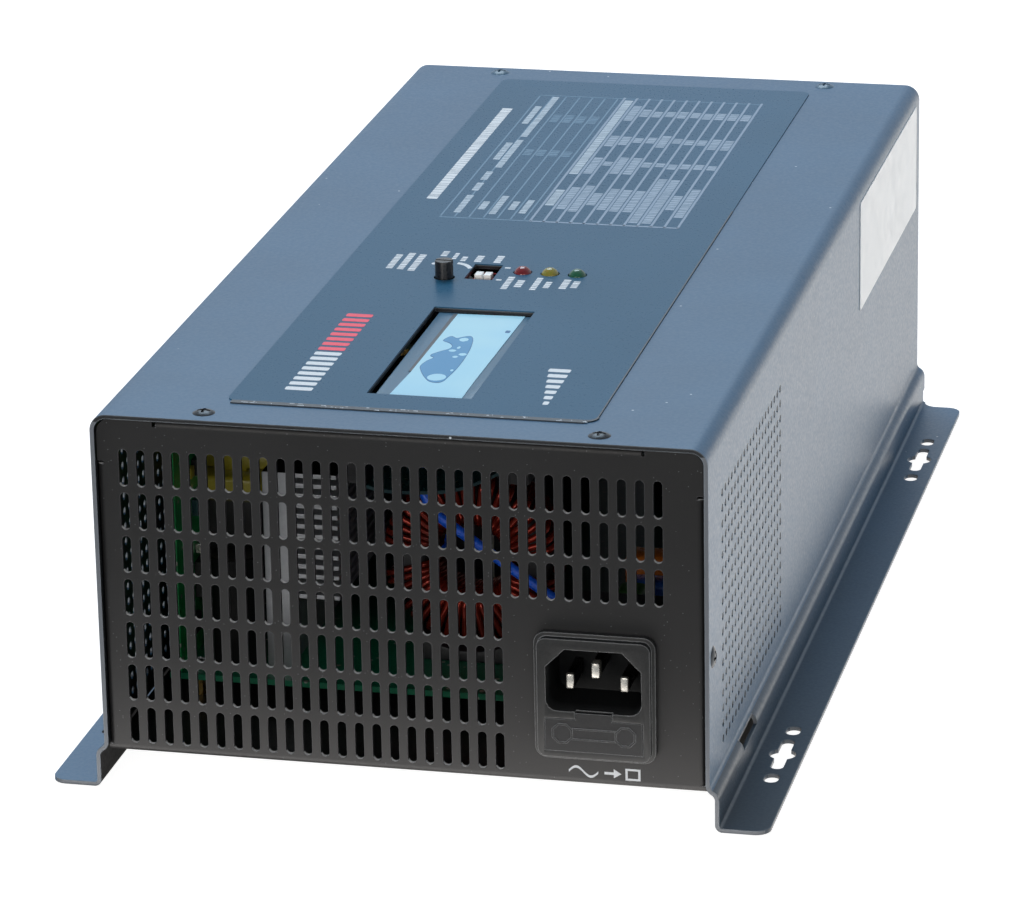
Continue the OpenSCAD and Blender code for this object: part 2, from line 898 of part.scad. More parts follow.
module dip_body() {
    z1 = inner_top - 0.5;
    color([0.62, 0.09, 0.1])
    place()
        translate([dip_x, dip_y + 6.9, 0])
            difference() {
                union() {
                    translate([-3.35, -4.95, z1 - 8.4])
                        cube([6.7, 9.9, 8.4]);
                    for (sx = [-1, 1])
                        for (sy = [-1, 1])
                            translate([sx * 1.27 - 0.3, sy * 3.81 - 0.3, control_top])
                                cube([0.6, 0.6, z1 - 8.2 - control_top]);
                }
                for (sx = [-1, 1])
                    translate([sx * 1.27 - 1.06, -3.9, z1 - 2])
                        cube([2.12, 7.8, 4]);
            }
}

module dip_slider(side) {
    color([0.95, 0.93, 0.92])
    place()
        translate([dip_x + side * 1.27 - 1.04, dip_y + 3, inner_top - 2.5])
            cube([2.08, 3.2, 4.25]);
}

module dip_slider_left() {
    dip_slider(-1);
}

module dip_slider_right() {
    dip_slider(1);
}

// lamp with its rim and two straight legs, standing on the control board
module lamp(i) {
    rim = inner_top - 6.9;
    dome = film_top + 1.7 - lamp_d / 2;
    place()
        translate([lamp_x + lamp_pitch * i, lamp_y, 0]) {
            translate([0, 0, rim + 1])
                cylinder(h = dome - rim - 1, d = lamp_d, $fn = 48);
            intersection() {
                translate([0, 0, dome])
                    sphere(d = lamp_d, $fn = 48);
                translate([-lamp_d, -lamp_d, dome - 0.5])
                    cube([2 * lamp_d, 2 * lamp_d, 9]);
            }
            translate([0, 0, rim])
                cylinder(h = 1.2, d = lamp_d + 0.8, $fn = 48);
            for (s = [-1, 1])
                translate([s * 1.27 - 0.25, -0.25, control_top])
                    cube([0.5, 0.5, rim + 0.1 - control_top]);
        }
}

module lamp_red() {
    color([0.55, 0.06, 0.06])
        lamp(0);
}

module lamp_yellow() {
    color([0.6, 0.58, 0.12])
        lamp(1);
}

module lamp_green() {
    color([0.05, 0.35, 0.2])
        lamp(2);
}

module board_points() {
    for (x = [6 - board_half, board_half - 6])
        for (y = [board_y + 7, (board_y + board_y2) / 2, board_y2 - 8])
            translate([x, y, 0])
                children();
}

module main_board() {
    color(board_green)
    place()
        difference() {
            translate([-board_half, board_y, board_z])
                cube([2 * board_half, board_y2 - board_y, board_t]);
            board_points()
                translate([0, 0, board_z - 1])
                    cylinder(h = board_t + 2, d = 3.4, $fn = 24);
        }
}

module board_standoffs() {
    color([0.78, 0.62, 0.3])
    place()
        board_points()
            translate([0, 0, floor_top])
                difference() {
                    cylinder(h = standoff_h, d = 6, $fn = 6);
                    translate([0, 0, 0.8])
                        cylinder(h = standoff_h, d = 3, $fn = 24);
                }
}

module board_screws() {
    color([0.6, 0.62, 0.64])
    place()
        board_points()
            translate([0, 0, board_top])
                screw(5.6, 1.8, 2.9, 5.5);
}

module transformer_core() {
    color([0.16, 0.16, 0.17])
    place()
        translate([transformer_x, board_y + 31, board_top]) {
            difference() {
                translate([-13, 0, 0])
                    cube([26, 20, transformer_h]);
                translate([-9, -1, 10])
                    cube([18, 22, transformer_h - 14]);
            }
            translate([-3, 0, 9.99])
                cube([6, 20, transformer_h - 13.98]);
        }
}

module transformer_winding() {
    color([0.86, 0.74, 0.2])
    place()
        translate([transformer_x, board_y + 41, board_top + 10.3])
            linear_extrude(height = transformer_h - 14.6)
                difference() {
                    rounded_2d(17.4, 34, 3);
                    square([6.4, 20.4], center = true);
                }
}

module input_capacitor() {
    color([0.1, 0.1, 0.12])
    place()
        translate([transformer_x + 4, board_y + 13, board_top])
            difference() {
                cylinder(h = 30, d = 14, $fn = 48);
                translate([0, 0, 29.6])
                    cylinder(h = 2, d = 12, $fn = 48);
            }
}

// upright ring choke facing the vents
module choke_at(x, y, z, r_out, r_in, t) {
    translate([x, y, z])
        rotate([90, 0, 0])
            rotate_extrude($fn = 64)
                translate([(r_out + r_in) / 2, 0])
                    rounded_2d(r_out - r_in, t, t * 0.22);
}

module choke_core() {
    color([0.2, 0.22, 0.2])
    place()
        choke_at(choke_x, choke_y, choke_z, choke_r - 3.5, 12.5, 12);
}

module choke_winding() {
    color([0.55, 0.16, 0.08])
    place()
        difference() {
            choke_at(choke_x, choke_y, choke_z, choke_r, 9.5, 18);
            choke_at(choke_x, choke_y, choke_z, choke_r - 3.2, 12.2, 12.6);
        }
}

module choke_base() {
    color([0.75, 0.74, 0.7])
    place()
        difference() {
            translate([choke_x - 15, choke_y - 10, board_top])
                cube([30, 20, 9]);
            translate([choke_x, choke_y + 20, choke_z])
                rotate([90, 0, 0])
                    cylinder(h = 40, r = choke_r + 0.3, $fn = 96);
        }
}

module small_choke() {
    color([0.6, 0.25, 0.1])
    place()
        choke_at(small_choke_x, board_y + 25, board_top + 8.2, 8.2, 3.2, 8);
}

module heatsink() {
    color([0.7, 0.71, 0.72])
    place()
        translate([sink_x, board_y + 9, board_top]) {
            cube([sink_t, sink_l, sink_h]);
            for (i = [0 : sink_fins - 1])
                translate([sink_t - 0.01, 0, sink_h - 1.3 - fin_pitch * i])
                    cube([fin_l, sink_l, 1.3]);
        }
}

module power_transistors() {
    color([0.1, 0.1, 0.11])
    place()
        for (i = [0 : 3])
            translate([sink_x - 5, board_y + 73 + 22 * i, board_top]) {
                translate([0, 0, 14])
                    cube([5, 16, 21]);
                for (k = [-1, 0, 1])
                    translate([2, 8 + 5.4 * k - 0.6, 0])
                        cube([0.6, 1.2, 14.1]);
            }
}

module bulk_capacitors() {
    color([0.11, 0.12, 0.14])
    place()
        for (i = [0 : 2])
            translate([-8, board_y + 71 + (bulk_d + 3) * i, board_top])
                difference() {
                    cylinder(h = bulk_h, d = bulk_d, $fn = 64);
                    translate([0, 0, bulk_h - 0.6])
                        cylinder(h = 2, d = bulk_d - 4, $fn = 64);
                }
}

module output_capacitors() {
    color([0.12, 0.13, 0.2])
    place()
        for (i = [0 : 3])
            translate([32, board_y2 - 34 - (output_d + 4) * i, board_top])
                difference() {
                    cylinder(h = output_h, d = output_d, $fn = 48);
                    translate([0, 0, output_h - 0.5])
                        cylinder(h = 2, d = output_d - 2.6, $fn = 48);
                }
}

module film_capacitor_orange() {
    color([0.72, 0.38, 0.06])
    place()
        translate([inlet_x - 7.4, board_y + 36, board_top])
            cube([15, 9, 27]);
}

module film_capacitor_blue() {
    color([0.07, 0.2, 0.48])
    place()
        translate([inlet_x - 4.4, board_y + 26, board_top])
            cube([14, 8, 23.5]);
}

module regulator_board() {
    color(board_green)
    place()
        translate([-inner_w + 7.6, board_y + 2, board_top])
            cube([board_t, 17, 60]);
}

module lead_connector() {
    color([0.9, 0.88, 0.82])
    place()
        difference() {
            translate([8, board_y + 8, board_top])
                cube([12, 6, 9]);
            translate([14, board_y + 11, board_top + 8])
                cylinder(h = 3, d = 2.3, $fn = 24);
        }
}

module display_lead() {
    y = board_y + 11;
    color([0.85, 0.85, 0.84])
    place()
        wire([[lcd_x - 15.6, y, lcd_board_z], [lcd_x - 15, y - 0.4, 73], [14, y, 71.6],
            [14, y, board_top + 8]], 2.2);
}

module tab_sleeve(x, z) {
    y0 = panel_y + 40;
    translate([x - 3.4, y0, z - 3])
        cube([6.8, 8, 6]);
}

module blue_lead() {
    x = inlet_x - pin_pitch / 2;
    z = cavity_mid_z - 2;
    color([0.1, 0.3, 0.7])
    place() {
        tab_sleeve(x, z);
        wire([[x, 47, z], [x - 4, 51, z - 2], [28.4, 50, 40.8], [-3.5, 50, 62.6], [-8, 52, 72],
            [-9, 81, 73.5], [-9, 81, board_top]], 2.8);
    }
}

module brown_lead() {
    x = inlet_x + pin_pitch / 2;
    z = cavity_mid_z - 2;
    color([0.35, 0.18, 0.08])
    place() {
        tab_sleeve(x, z);
        wire([[x, 47, z], [x + 3, 53, z], [x + 3, 54, board_top]], 2.8);
    }
}

module earth_lead() {
    z = cavity_mid_z + 2;
    color([0.25, 0.5, 0.12])
    place() {
        tab_sleeve(inlet_x, z + 2.9);
        wire([[inlet_x, 47, z + 3], [inlet_x, 53, z + 6], [68.5, 50, z + 6], [earth_x, 29, 24],
            [earth_x, 29, floor_top + 1.7], [earth_x, earth_y + 3, floor_top + 1.7]], 2.8);
        translate([earth_x, earth_y, floor_top])
            difference() {
                cylinder(h = 1.1, d = 8, $fn = 32);
                translate([0, 0, -1])
                    cylinder(h = 4, d = 3.4, $fn = 24);
            }
    }
}

module earth_nut() {
    color([0.6, 0.62, 0.64])
    place()
        translate([earth_x, earth_y, floor_top]) {
            cylinder(h = 6, d = 3, $fn = 24);
            translate([0, 0, 1.1])
                difference() {
                    cylinder(h = 2.6, d = 6, $fn = 6);
                    translate([0, 0, -1])
                        cylinder(h = 5, d = 3.2, $fn = 24);
                }
        }
}

module fan_frame() {
    y0 = rear_in - fan_depth;
    half = fan_size / 2;
    color([0.13, 0.13, 0.14])
    place()
        translate([fan_x, y0, fan_z])
            difference() {
                union() {
                    difference() {
                        translate([-half, 0, -half])
                            cube([fan_size, fan_depth, fan_size]);
                        translate([0, -1, 0])
                            rotate([-90, 0, 0])
                                cylinder(h = fan_depth + 2, d = fan_size - 4, $fn = 96);
                    }
                    rotate([-90, 0, 0])
                        cylinder(h = 3, d = 34, $fn = 64);
                    for (a = [0, 90])
                        rotate([0, a + 20, 0])
                            translate([-half + 1, 0, -1.5])
                                cube([fan_size - 2, 2.5, 3]);
                }
                for (sx = [-1, 1])
                    for (sz = [-1, 1])
                        translate([sx * fan_hole, -1, sz * fan_hole])
                            rotate([-90, 0, 0])
                                cylinder(h = fan_depth + 2, d = 4.3, $fn = 24);
                translate([0, 1, 0])
                    rotate([-90, 0, 0])
                        cylinder(h = 3, d = 3.1, $fn = 32);
            }
}

module fan_rotor() {
    y0 = rear_in - fan_depth;
    hub_r = 17;
    tip_r = fan_size / 2 - 3;
    color([0.2, 0.2, 0.21])
    place()
        translate([fan_x, y0, fan_z])
            union() {
                translate([0, 4, 0])
                    rotate([-90, 0, 0])
                        cylinder(h = 19, r = hub_r, $fn = 64);
                translate([0, 1, 0])
                    rotate([-90, 0, 0])
                        cylinder(h = 4, d = 3, $fn = 32);
                intersection() {
                    translate([0, 5, 0])
                        rotate([-90, 0, 0])
                            cylinder(h = 17, r = tip_r, $fn = 96);
                    for (i = [0 : blades - 1])
                        rotate([0, i * 360 / blades, 0])
                            translate([hub_r - 1, 13.5, 0])
                                rotate([-blade_tilt, 0, 0])
                                    translate([0, -0.8, -12])
                                        cube([tip_r, 1.6, 24]);
                }
            }
}

module fan_screws() {
    color([0.15, 0.15, 0.16])
    place()
        for (sx = [-1, 1])
            for (sz = [-1, 1])
                translate([fan_x + sx * fan_hole, rear_out, fan_z + sz * fan_hole])
                    rotate([-90, 0, 0])
                        screw(7.5, 2.2, 4.2, 11);
}

module stud_places(sides) {
    for (s = sides)
        translate([stud_x + s * stud_pitch / 2, 0, fan_z])
            rotate([-90, 0, 0])
                children();
}

// studs a little thinner where their nuts sit, full size on the free end
module output_studs() {
    free = stud_free - 0.3;
    shank = stud_d - 0.8;
    color([0.78, 0.62, 0.3])
    place()
        stud_places([-1, 1]) {
            translate([0, 0, rear_in - 22])
                cylinder(h = stud_end - free - rear_in + 22.01, d = shank, $fn = 48);
            translate([0, 0, stud_end - free])
                cylinder(h = free, d = stud_d, $fn = 48);
        }
}

module stud_nuts() {
    color([0.7, 0.71, 0.72])
    place()
        stud_places([-1, 1])
            for (z = [rear_out + collar_t, rear_in - 4 - nut_t])
                translate([0, 0, z])
                    difference() {
                        cylinder(h = nut_t, d = 11, $fn = 6);
                        translate([0, 0, -1])
                            cylinder(h = nut_t + 2, d = stud_d - 0.7, $fn = 48);
                    }
}

module collar() {
    difference() {
        union() {
            translate([0, 0, rear_out])
                cylinder(h = collar_t, d = 16, $fn = 48);
            translate([0, 0, rear_in - 4])
                cylinder(h = 4, d = 16, $fn = 48);
            translate([0, 0, rear_in - 1])
                cylinder(h = sheet + 2, d = 9.9, $fn = 48);
        }
        translate([0, 0, rear_in - 10])
            cylinder(h = 30, d = stud_d - 0.6, $fn = 48);
    }
}

module stud_collar_red() {
    color([0.65, 0.08, 0.08])
    place()
        stud_places([1])
            collar();
}

module stud_collar_black() {
    color([0.1, 0.1, 0.1])
    place()
        stud_places([-1])
            collar();
}

// output lead with its ring terminal behind the inner nut
module output_lead(s) {
    x = stud_x + s * stud_pitch / 2;
    y = rear_in - 4 - nut_t;
    difference() {
        union() {
            translate([x, y, fan_z])
                rotate([90, 0, 0])
                    cylinder(h = 1.2, d = 12, $fn = 32);
            translate([x - 3, y - 1.2, fan_z - 12])
                cube([6, 1.2, 8]);
            wire([[x, y - 3, fan_z - 10], [x, y - 3, 34], [x, board_y2 - 6, 30],
                [x, board_y2 - 6, board_top]], 4.5);
        }
        translate([x, y + 5, fan_z])
            rotate([90, 0, 0])
                cylinder(h = 20, d = stud_d - 0.5, $fn = 48);
    }
}

module output_lead_red() {
    color([0.6, 0.08, 0.08])
    place()
        output_lead(1);
}

module output_lead_black() {
    color([0.1, 0.1, 0.1])
    place()
        output_lead(-1);
}

cover();
chassis();
top_film();
cover_screws();
rating_sticker();
inlet_body();
inlet_pins();
fuse_drawer();
fuse_glass();
fuse_caps();
lcd_board();
lcd_spacers();
lcd_frame();
lcd_glass();
lcd_light();
lcd_film();
control_board();
control_spacers();
trimmer_body();
current_knob();
dip_body();
dip_slider_left();
dip_slider_right();
lamp_red();
lamp_yellow();
lamp_green();
main_board();
board_standoffs();
board_screws();
transformer_core();
transformer_winding();
input_capacitor();
choke_core();
choke_winding();
choke_base();
small_choke();
heatsink();
power_transistors();
bulk_capacitors();
output_capacitors();
film_capacitor_orange();
film_capacitor_blue();
regulator_board();
lead_connector();
display_lead();
blue_lead();
brown_lead();
earth_lead();
earth_nut();
fan_frame();
fan_rotor();
fan_screws();
output_studs();
stud_nuts();
stud_collar_red();
stud_collar_black();
output_lead_red();
output_lead_black();
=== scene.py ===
import json
import math
import random

import bmesh
import bpy
from mathutils import Matrix, Vector


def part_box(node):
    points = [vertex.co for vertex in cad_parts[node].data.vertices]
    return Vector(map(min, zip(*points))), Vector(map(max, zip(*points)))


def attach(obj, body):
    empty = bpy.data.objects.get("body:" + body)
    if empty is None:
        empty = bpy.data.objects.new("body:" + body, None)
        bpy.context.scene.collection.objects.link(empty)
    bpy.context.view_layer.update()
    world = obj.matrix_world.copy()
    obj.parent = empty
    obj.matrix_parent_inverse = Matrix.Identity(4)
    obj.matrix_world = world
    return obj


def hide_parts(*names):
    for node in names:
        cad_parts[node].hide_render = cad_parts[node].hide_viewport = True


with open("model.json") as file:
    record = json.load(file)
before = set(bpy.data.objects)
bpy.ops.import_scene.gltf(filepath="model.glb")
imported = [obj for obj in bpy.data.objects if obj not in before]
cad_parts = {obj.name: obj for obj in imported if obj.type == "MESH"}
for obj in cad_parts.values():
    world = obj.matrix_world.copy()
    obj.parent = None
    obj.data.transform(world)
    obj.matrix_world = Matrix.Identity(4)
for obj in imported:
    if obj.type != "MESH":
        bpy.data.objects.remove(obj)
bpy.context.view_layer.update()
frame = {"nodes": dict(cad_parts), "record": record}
nodes = frame["nodes"]
print("stage: frame loaded,", len(nodes), "nodes")

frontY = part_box("cover")[0].y     # the cover's front edge, from which the lengths are counted


def at(x, y, z):                  # millimetres from the cover's front edge to metres in the frame
    return Vector((x / 1000, frontY + y / 1000, z / 1000))


def colourOf(hexCode):
    parts = [int(hexCode[i:i + 2], 16) / 255 for i in (1, 3, 5)]
    return [p / 12.92 if p <= 0.04045 else ((p + 0.055) / 1.055) ** 2.4 for p in parts] + [1.0]


def addNode(tree, kind, inputs=(), **settings):   # a node or a socket among the inputs is linked
    node = tree.nodes.new(kind)
    for name, value in settings.items():
        setattr(node, name, value)
    for key, value in inputs.items() if isinstance(inputs, dict) else enumerate(inputs):
        if isinstance(value, bpy.types.Node):
            value = value.outputs[0]
        if isinstance(value, bpy.types.NodeSocket):
            tree.links.new(value, node.inputs[key])
        else:
            node.inputs[key].default_value = value
    return node


def maskOf(tree, *tests):         # 1 where every test holds, each with its limit and tolerance
    mask = None
    for source, operation, *limits in tests:
        held = addNode(tree, "ShaderNodeMath", (source, *limits), operation=operation)
        mask = addNode(tree, "ShaderNodeMath", (mask, held), operation="MULTIPLY") if mask else held
    return mask


def emptyTree(owner):             # a world or a material whose nodes are still to be added
    owner.use_nodes = True
    owner.node_tree.nodes.clear()
    return owner.node_tree


# camera, found from the photograph's straight edges
cameraValues = {
    "eye": (0.309894, -1.355725, 0.525088),
    "right": (0.97428071, 0.22459945, -0.0182259),
    "up": (-0.05798212, 0.32803199, 0.94288551),
    "back": (0.21775025, -0.91757839, 0.33261799),
    "lens": 182.24,
}


def makeCamera(values):
    data = bpy.data.cameras.new("camera")
    data.sensor_width = 36
    data.sensor_fit = "HORIZONTAL"
    data.lens = values["lens"]
    data.clip_end = 50
    camera = bpy.data.objects.new("camera", data)
    axes = Matrix([values["right"], values["up"], values["back"]]).transposed().to_4x4()
    camera.matrix_world = Matrix.Translation(values["eye"]) @ axes
    bpy.context.scene.collection.objects.link(camera)
    bpy.context.scene.camera = camera


makeCamera(cameraValues)
bpy.context.scene.view_settings.view_transform = "Standard"

# studio: white paper that runs up behind, lit from all round
studioValues = {
    # what lights the object from all round, and what its gloss shows: greyer behind the camera
    "fill": "#E2E9F2", "fillLeft": 0.85, "fillRight": 0.08, "fillSpan": (-0.95, 0.1),
    "seen": "#E9F1FA", "seenBack": 1.0, "seenFront": 0.42, "seenSpan": (-0.6, 0.5),
    "floorColour": "#A9A8A6", "floorLift": 0.95, "floorHeight": -0.0004,
    # the paper as the walls mirror it
    "shineColour": "#FFFBF7", "shineLeft": 0.10, "shineRight": 1.9, "shineBack": 0.84,
    "acrossSpan": (-0.05, 0.1), "alongSpan": (-0.05, 0.2),
    # the paper as the front panel mirrors it, bright close by and darker further off
    "shineNear": 5.4, "shineFar": 0.03, "shineFrom": -0.1785, "aheadSpan": (-0.265, -0.17),
    # the paper right under the case is in deep shade
    "underMiddle": (0.0, 0.018), "underHalf": (0.079, 0.1455),
}
# a large soft light high behind, two in front, and two narrow ones that draw lines on the lamps
lampValues = {
    "key": {"power": 43.0, "colour": "#E0F2FF", "place": (-0.45, 1.35, 2.1), "size": (1.4, 1.4)},
    "front": {"power": 7.5, "colour": "#FFFAF4", "place": (-0.3, -1.6, 0.45), "size": (0.6, 0.6)},
    "side": {"power": 3.2, "colour": "#FFFAF4", "place": (0.75, -1.3, 0.5), "size": (0.5, 0.5)},
    "glint_left": {"power": 0.6, "colour": "#FFFFFF", "place": (0.02, -1.5, 0.42), "size": (0.09, 0.16)},
    "glint_right": {"power": 0.6, "colour": "#FFFFFF", "place": (0.42, -1.4, 0.42), "size": (0.09, 0.16)},
}


def makeWorld(values):
    world = bpy.data.worlds.new("studio")
    tree = emptyTree(world)
    path = addNode(tree, "ShaderNodeLightPath").outputs
    seen = addNode(tree, "ShaderNodeMath", (path["Is Glossy Ray"], path["Is Transmission Ray"]),
        operation="MAXIMUM")
    place = addNode(tree, "ShaderNodeTexCoord").outputs["Generated"]
    x, y, z = addNode(tree, "ShaderNodeSeparateXYZ", (place,)).outputs
    backward = (y, *values["seenSpan"], values["seenFront"], values["seenBack"])
    behind = addNode(tree, "ShaderNodeMapRange", backward)
    sideways = (x, *values["fillSpan"], values["fillLeft"], values["fillRight"])
    across = addNode(tree, "ShaderNodeMapRange", sideways)
    fill = addNode(tree, "ShaderNodeBackground", (colourOf(values["fill"]), across))
    gloss = addNode(tree, "ShaderNodeBackground", (colourOf(values["seen"]), behind))
    white = addNode(tree, "ShaderNodeBackground", (colourOf("#FFFFFF"), 1.0))
    unseen = addNode(tree, "ShaderNodeMixShader", (seen, fill, gloss))
    shown = addNode(tree, "ShaderNodeMixShader", (path["Is Camera Ray"], unseen, white))
    addNode(tree, "ShaderNodeOutputWorld", {"Surface": shown})
    bpy.context.scene.world = world


def makeFloor(values):
    mesh = bpy.data.meshes.new("floor")
    corners = ((-6, -6), (6, -6), (6, 6), (-6, 6))
    mesh.from_pydata([(x, y, values["floorHeight"]) for x, y in corners], [], [(0, 1, 2, 3)])
    floor = bpy.data.objects.new("floor", mesh)
    bpy.context.scene.collection.objects.link(floor)
    material = bpy.data.materials.new("white paper sweep")
    tree = emptyTree(material)
    path = addNode(tree, "ShaderNodeLightPath").outputs
    x, y, z = addNode(tree, "ShaderNodeSeparateXYZ", (addNode(tree, "ShaderNodeNewGeometry"),)).outputs
    sideways = (x, *values["acrossSpan"], values["shineLeft"], values["shineRight"])
    across = addNode(tree, "ShaderNodeMapRange", sideways)
    along = addNode(tree, "ShaderNodeMapRange", (y, *values["alongSpan"], 1.0, values["shineBack"]))
    beside = addNode(tree, "ShaderNodeMath", (across, along), operation="MULTIPLY")
    forward = (y, *values["aheadSpan"], values["shineFar"], values["shineNear"])
    near = addNode(tree, "ShaderNodeMapRange", forward, interpolation_type="SMOOTHSTEP")
    ahead = maskOf(tree, (y, "LESS_THAN", values["shineFrom"]))
    level = addNode(tree, "ShaderNodeMix", {0: ahead, 2: beside, 3: near}, data_type="FLOAT")
    shine = addNode(tree, "ShaderNodeMath", (path["Is Glossy Ray"], level), operation="MULTIPLY")
    (middleX, middleY), (halfX, halfY) = values["underMiddle"], values["underHalf"]
    under = maskOf(tree, (x, "COMPARE", middleX, halfX), (y, "COMPARE", middleY, halfY))
    clear = addNode(tree, "ShaderNodeMath", (1.0, under), operation="SUBTRACT")
    lit = addNode(tree, "ShaderNodeMath", (path["Is Camera Ray"], clear), operation="MULTIPLY")
    lift = addNode(tree, "ShaderNodeMath", (lit, values["floorLift"], shine), operation="MULTIPLY_ADD")
    tints = {0: path["Is Glossy Ray"], 6: colourOf("#FFFFFF"), 7: colourOf(values["shineColour"])}
    tint = addNode(tree, "ShaderNodeMix", tints, data_type="RGBA").outputs[2]
    paper = addNode(tree, "ShaderNodeBsdfDiffuse", (colourOf(values["floorColour"]),))
    glow = addNode(tree, "ShaderNodeEmission", (tint, lift))
    both = addNode(tree, "ShaderNodeAddShader", (paper, glow))
    addNode(tree, "ShaderNodeOutputMaterial", {"Surface": both})
    mesh.materials.append(material)


def makeLamp(name, values):
    data = bpy.data.lights.new(name, "AREA")
    data.shape = "RECTANGLE"
    data.size, data.size_y = values["size"]
    data.energy = values["power"]
    data.color = colourOf(values["colour"])[:3]
    lamp = bpy.data.objects.new(name, data)
    lamp.location = values["place"]
    lamp.rotation_euler = (Vector((0, 0, 0.05)) - lamp.location).to_track_quat("-Z", "Y").to_euler()
    bpy.context.scene.collection.objects.link(lamp)


makeWorld(studioValues)
makeFloor(studioValues)
for lampName, values in lampValues.items():
    makeLamp(lampName, values)
print("stage: camera and studio made")

# finishes: each one's own nodes go between a Principled shader and the Object coordinates

def startMaterial(name, settings):
    material = bpy.data.materials.new(name)
    tree = emptyTree(material)
    shader = addNode(tree, "ShaderNodeBsdfPrincipled", settings)
    addNode(tree, "ShaderNodeOutputMaterial", {"Surface": shader})
    return material, tree, shader, addNode(tree, "ShaderNodeTexCoord").outputs["Object"]


# two close shades in patches of a size in millimetres, and colours laid over them through masks
def giveColour(tree, shader, place, size, first, second, layers=(), detail=3.0, spread=(0.35, 0.65)):
    noise = addNode(tree, "ShaderNodeTexNoise", {"Vector": place, "Scale": 1000 / size, "Detail": detail})
    share = addNode(tree, "ShaderNodeMapRange", (noise, *spread))
    shades = {0: share, 6: colourOf(first), 7: colourOf(second)}
    body = addNode(tree, "ShaderNodeMix", shades, data_type="RGBA").outputs[2]
    for mask, colour in layers:
        shades = {0: mask, 6: body, 7: colourOf(colour)}
        body = addNode(tree, "ShaderNodeMix", shades, data_type="RGBA").outputs[2]
    tree.links.new(body, shader.inputs["Base Color"])


# a fine grain, its size in millimetres, that roughens the shine and stands out by its depth in metres
def giveGrain(tree, shader, place, size, bump, depth, rough=None, spread=(-0.05, 0.07), normal=None):
    noise = addNode(tree, "ShaderNodeTexNoise", {"Vector": place, "Scale": 1000 / size})
    relief = addNode(tree, "ShaderNodeBump", {"Height": noise, "Strength": bump, "Distance": depth})
    if rough is not None:
        level = addNode(tree, "ShaderNodeMapRange", (noise, 0.3, 0.7, rough + spread[0], rough + spread[1]))
        tree.links.new(level.outputs[0], shader.inputs["Roughness"])
    if normal is not None:
        tree.links.new(normal, relief.inputs["Normal"])
    tree.links.new(relief.outputs[0], shader.inputs["Normal"])


def edgeOf(tree, radius, share):   # a mask of folded and cut edges, and the normal rounded over them
    rounded = addNode(tree, "ShaderNodeBevel", {"Radius": radius}, samples=4).outputs[0]
    face = addNode(tree, "ShaderNodeNewGeometry").outputs["Normal"]
    match = addNode(tree, "ShaderNodeVectorMath", (rounded, face), operation="DOT_PRODUCT")
    # it starts 10 degrees away from the face's own direction and is full at 31
    sharp = addNode(tree, "ShaderNodeMapRange", (match.outputs["Value"], 0.985, 0.86))
    return addNode(tree, "ShaderNodeMath", (sharp, share), operation="MULTIPLY"), rounded


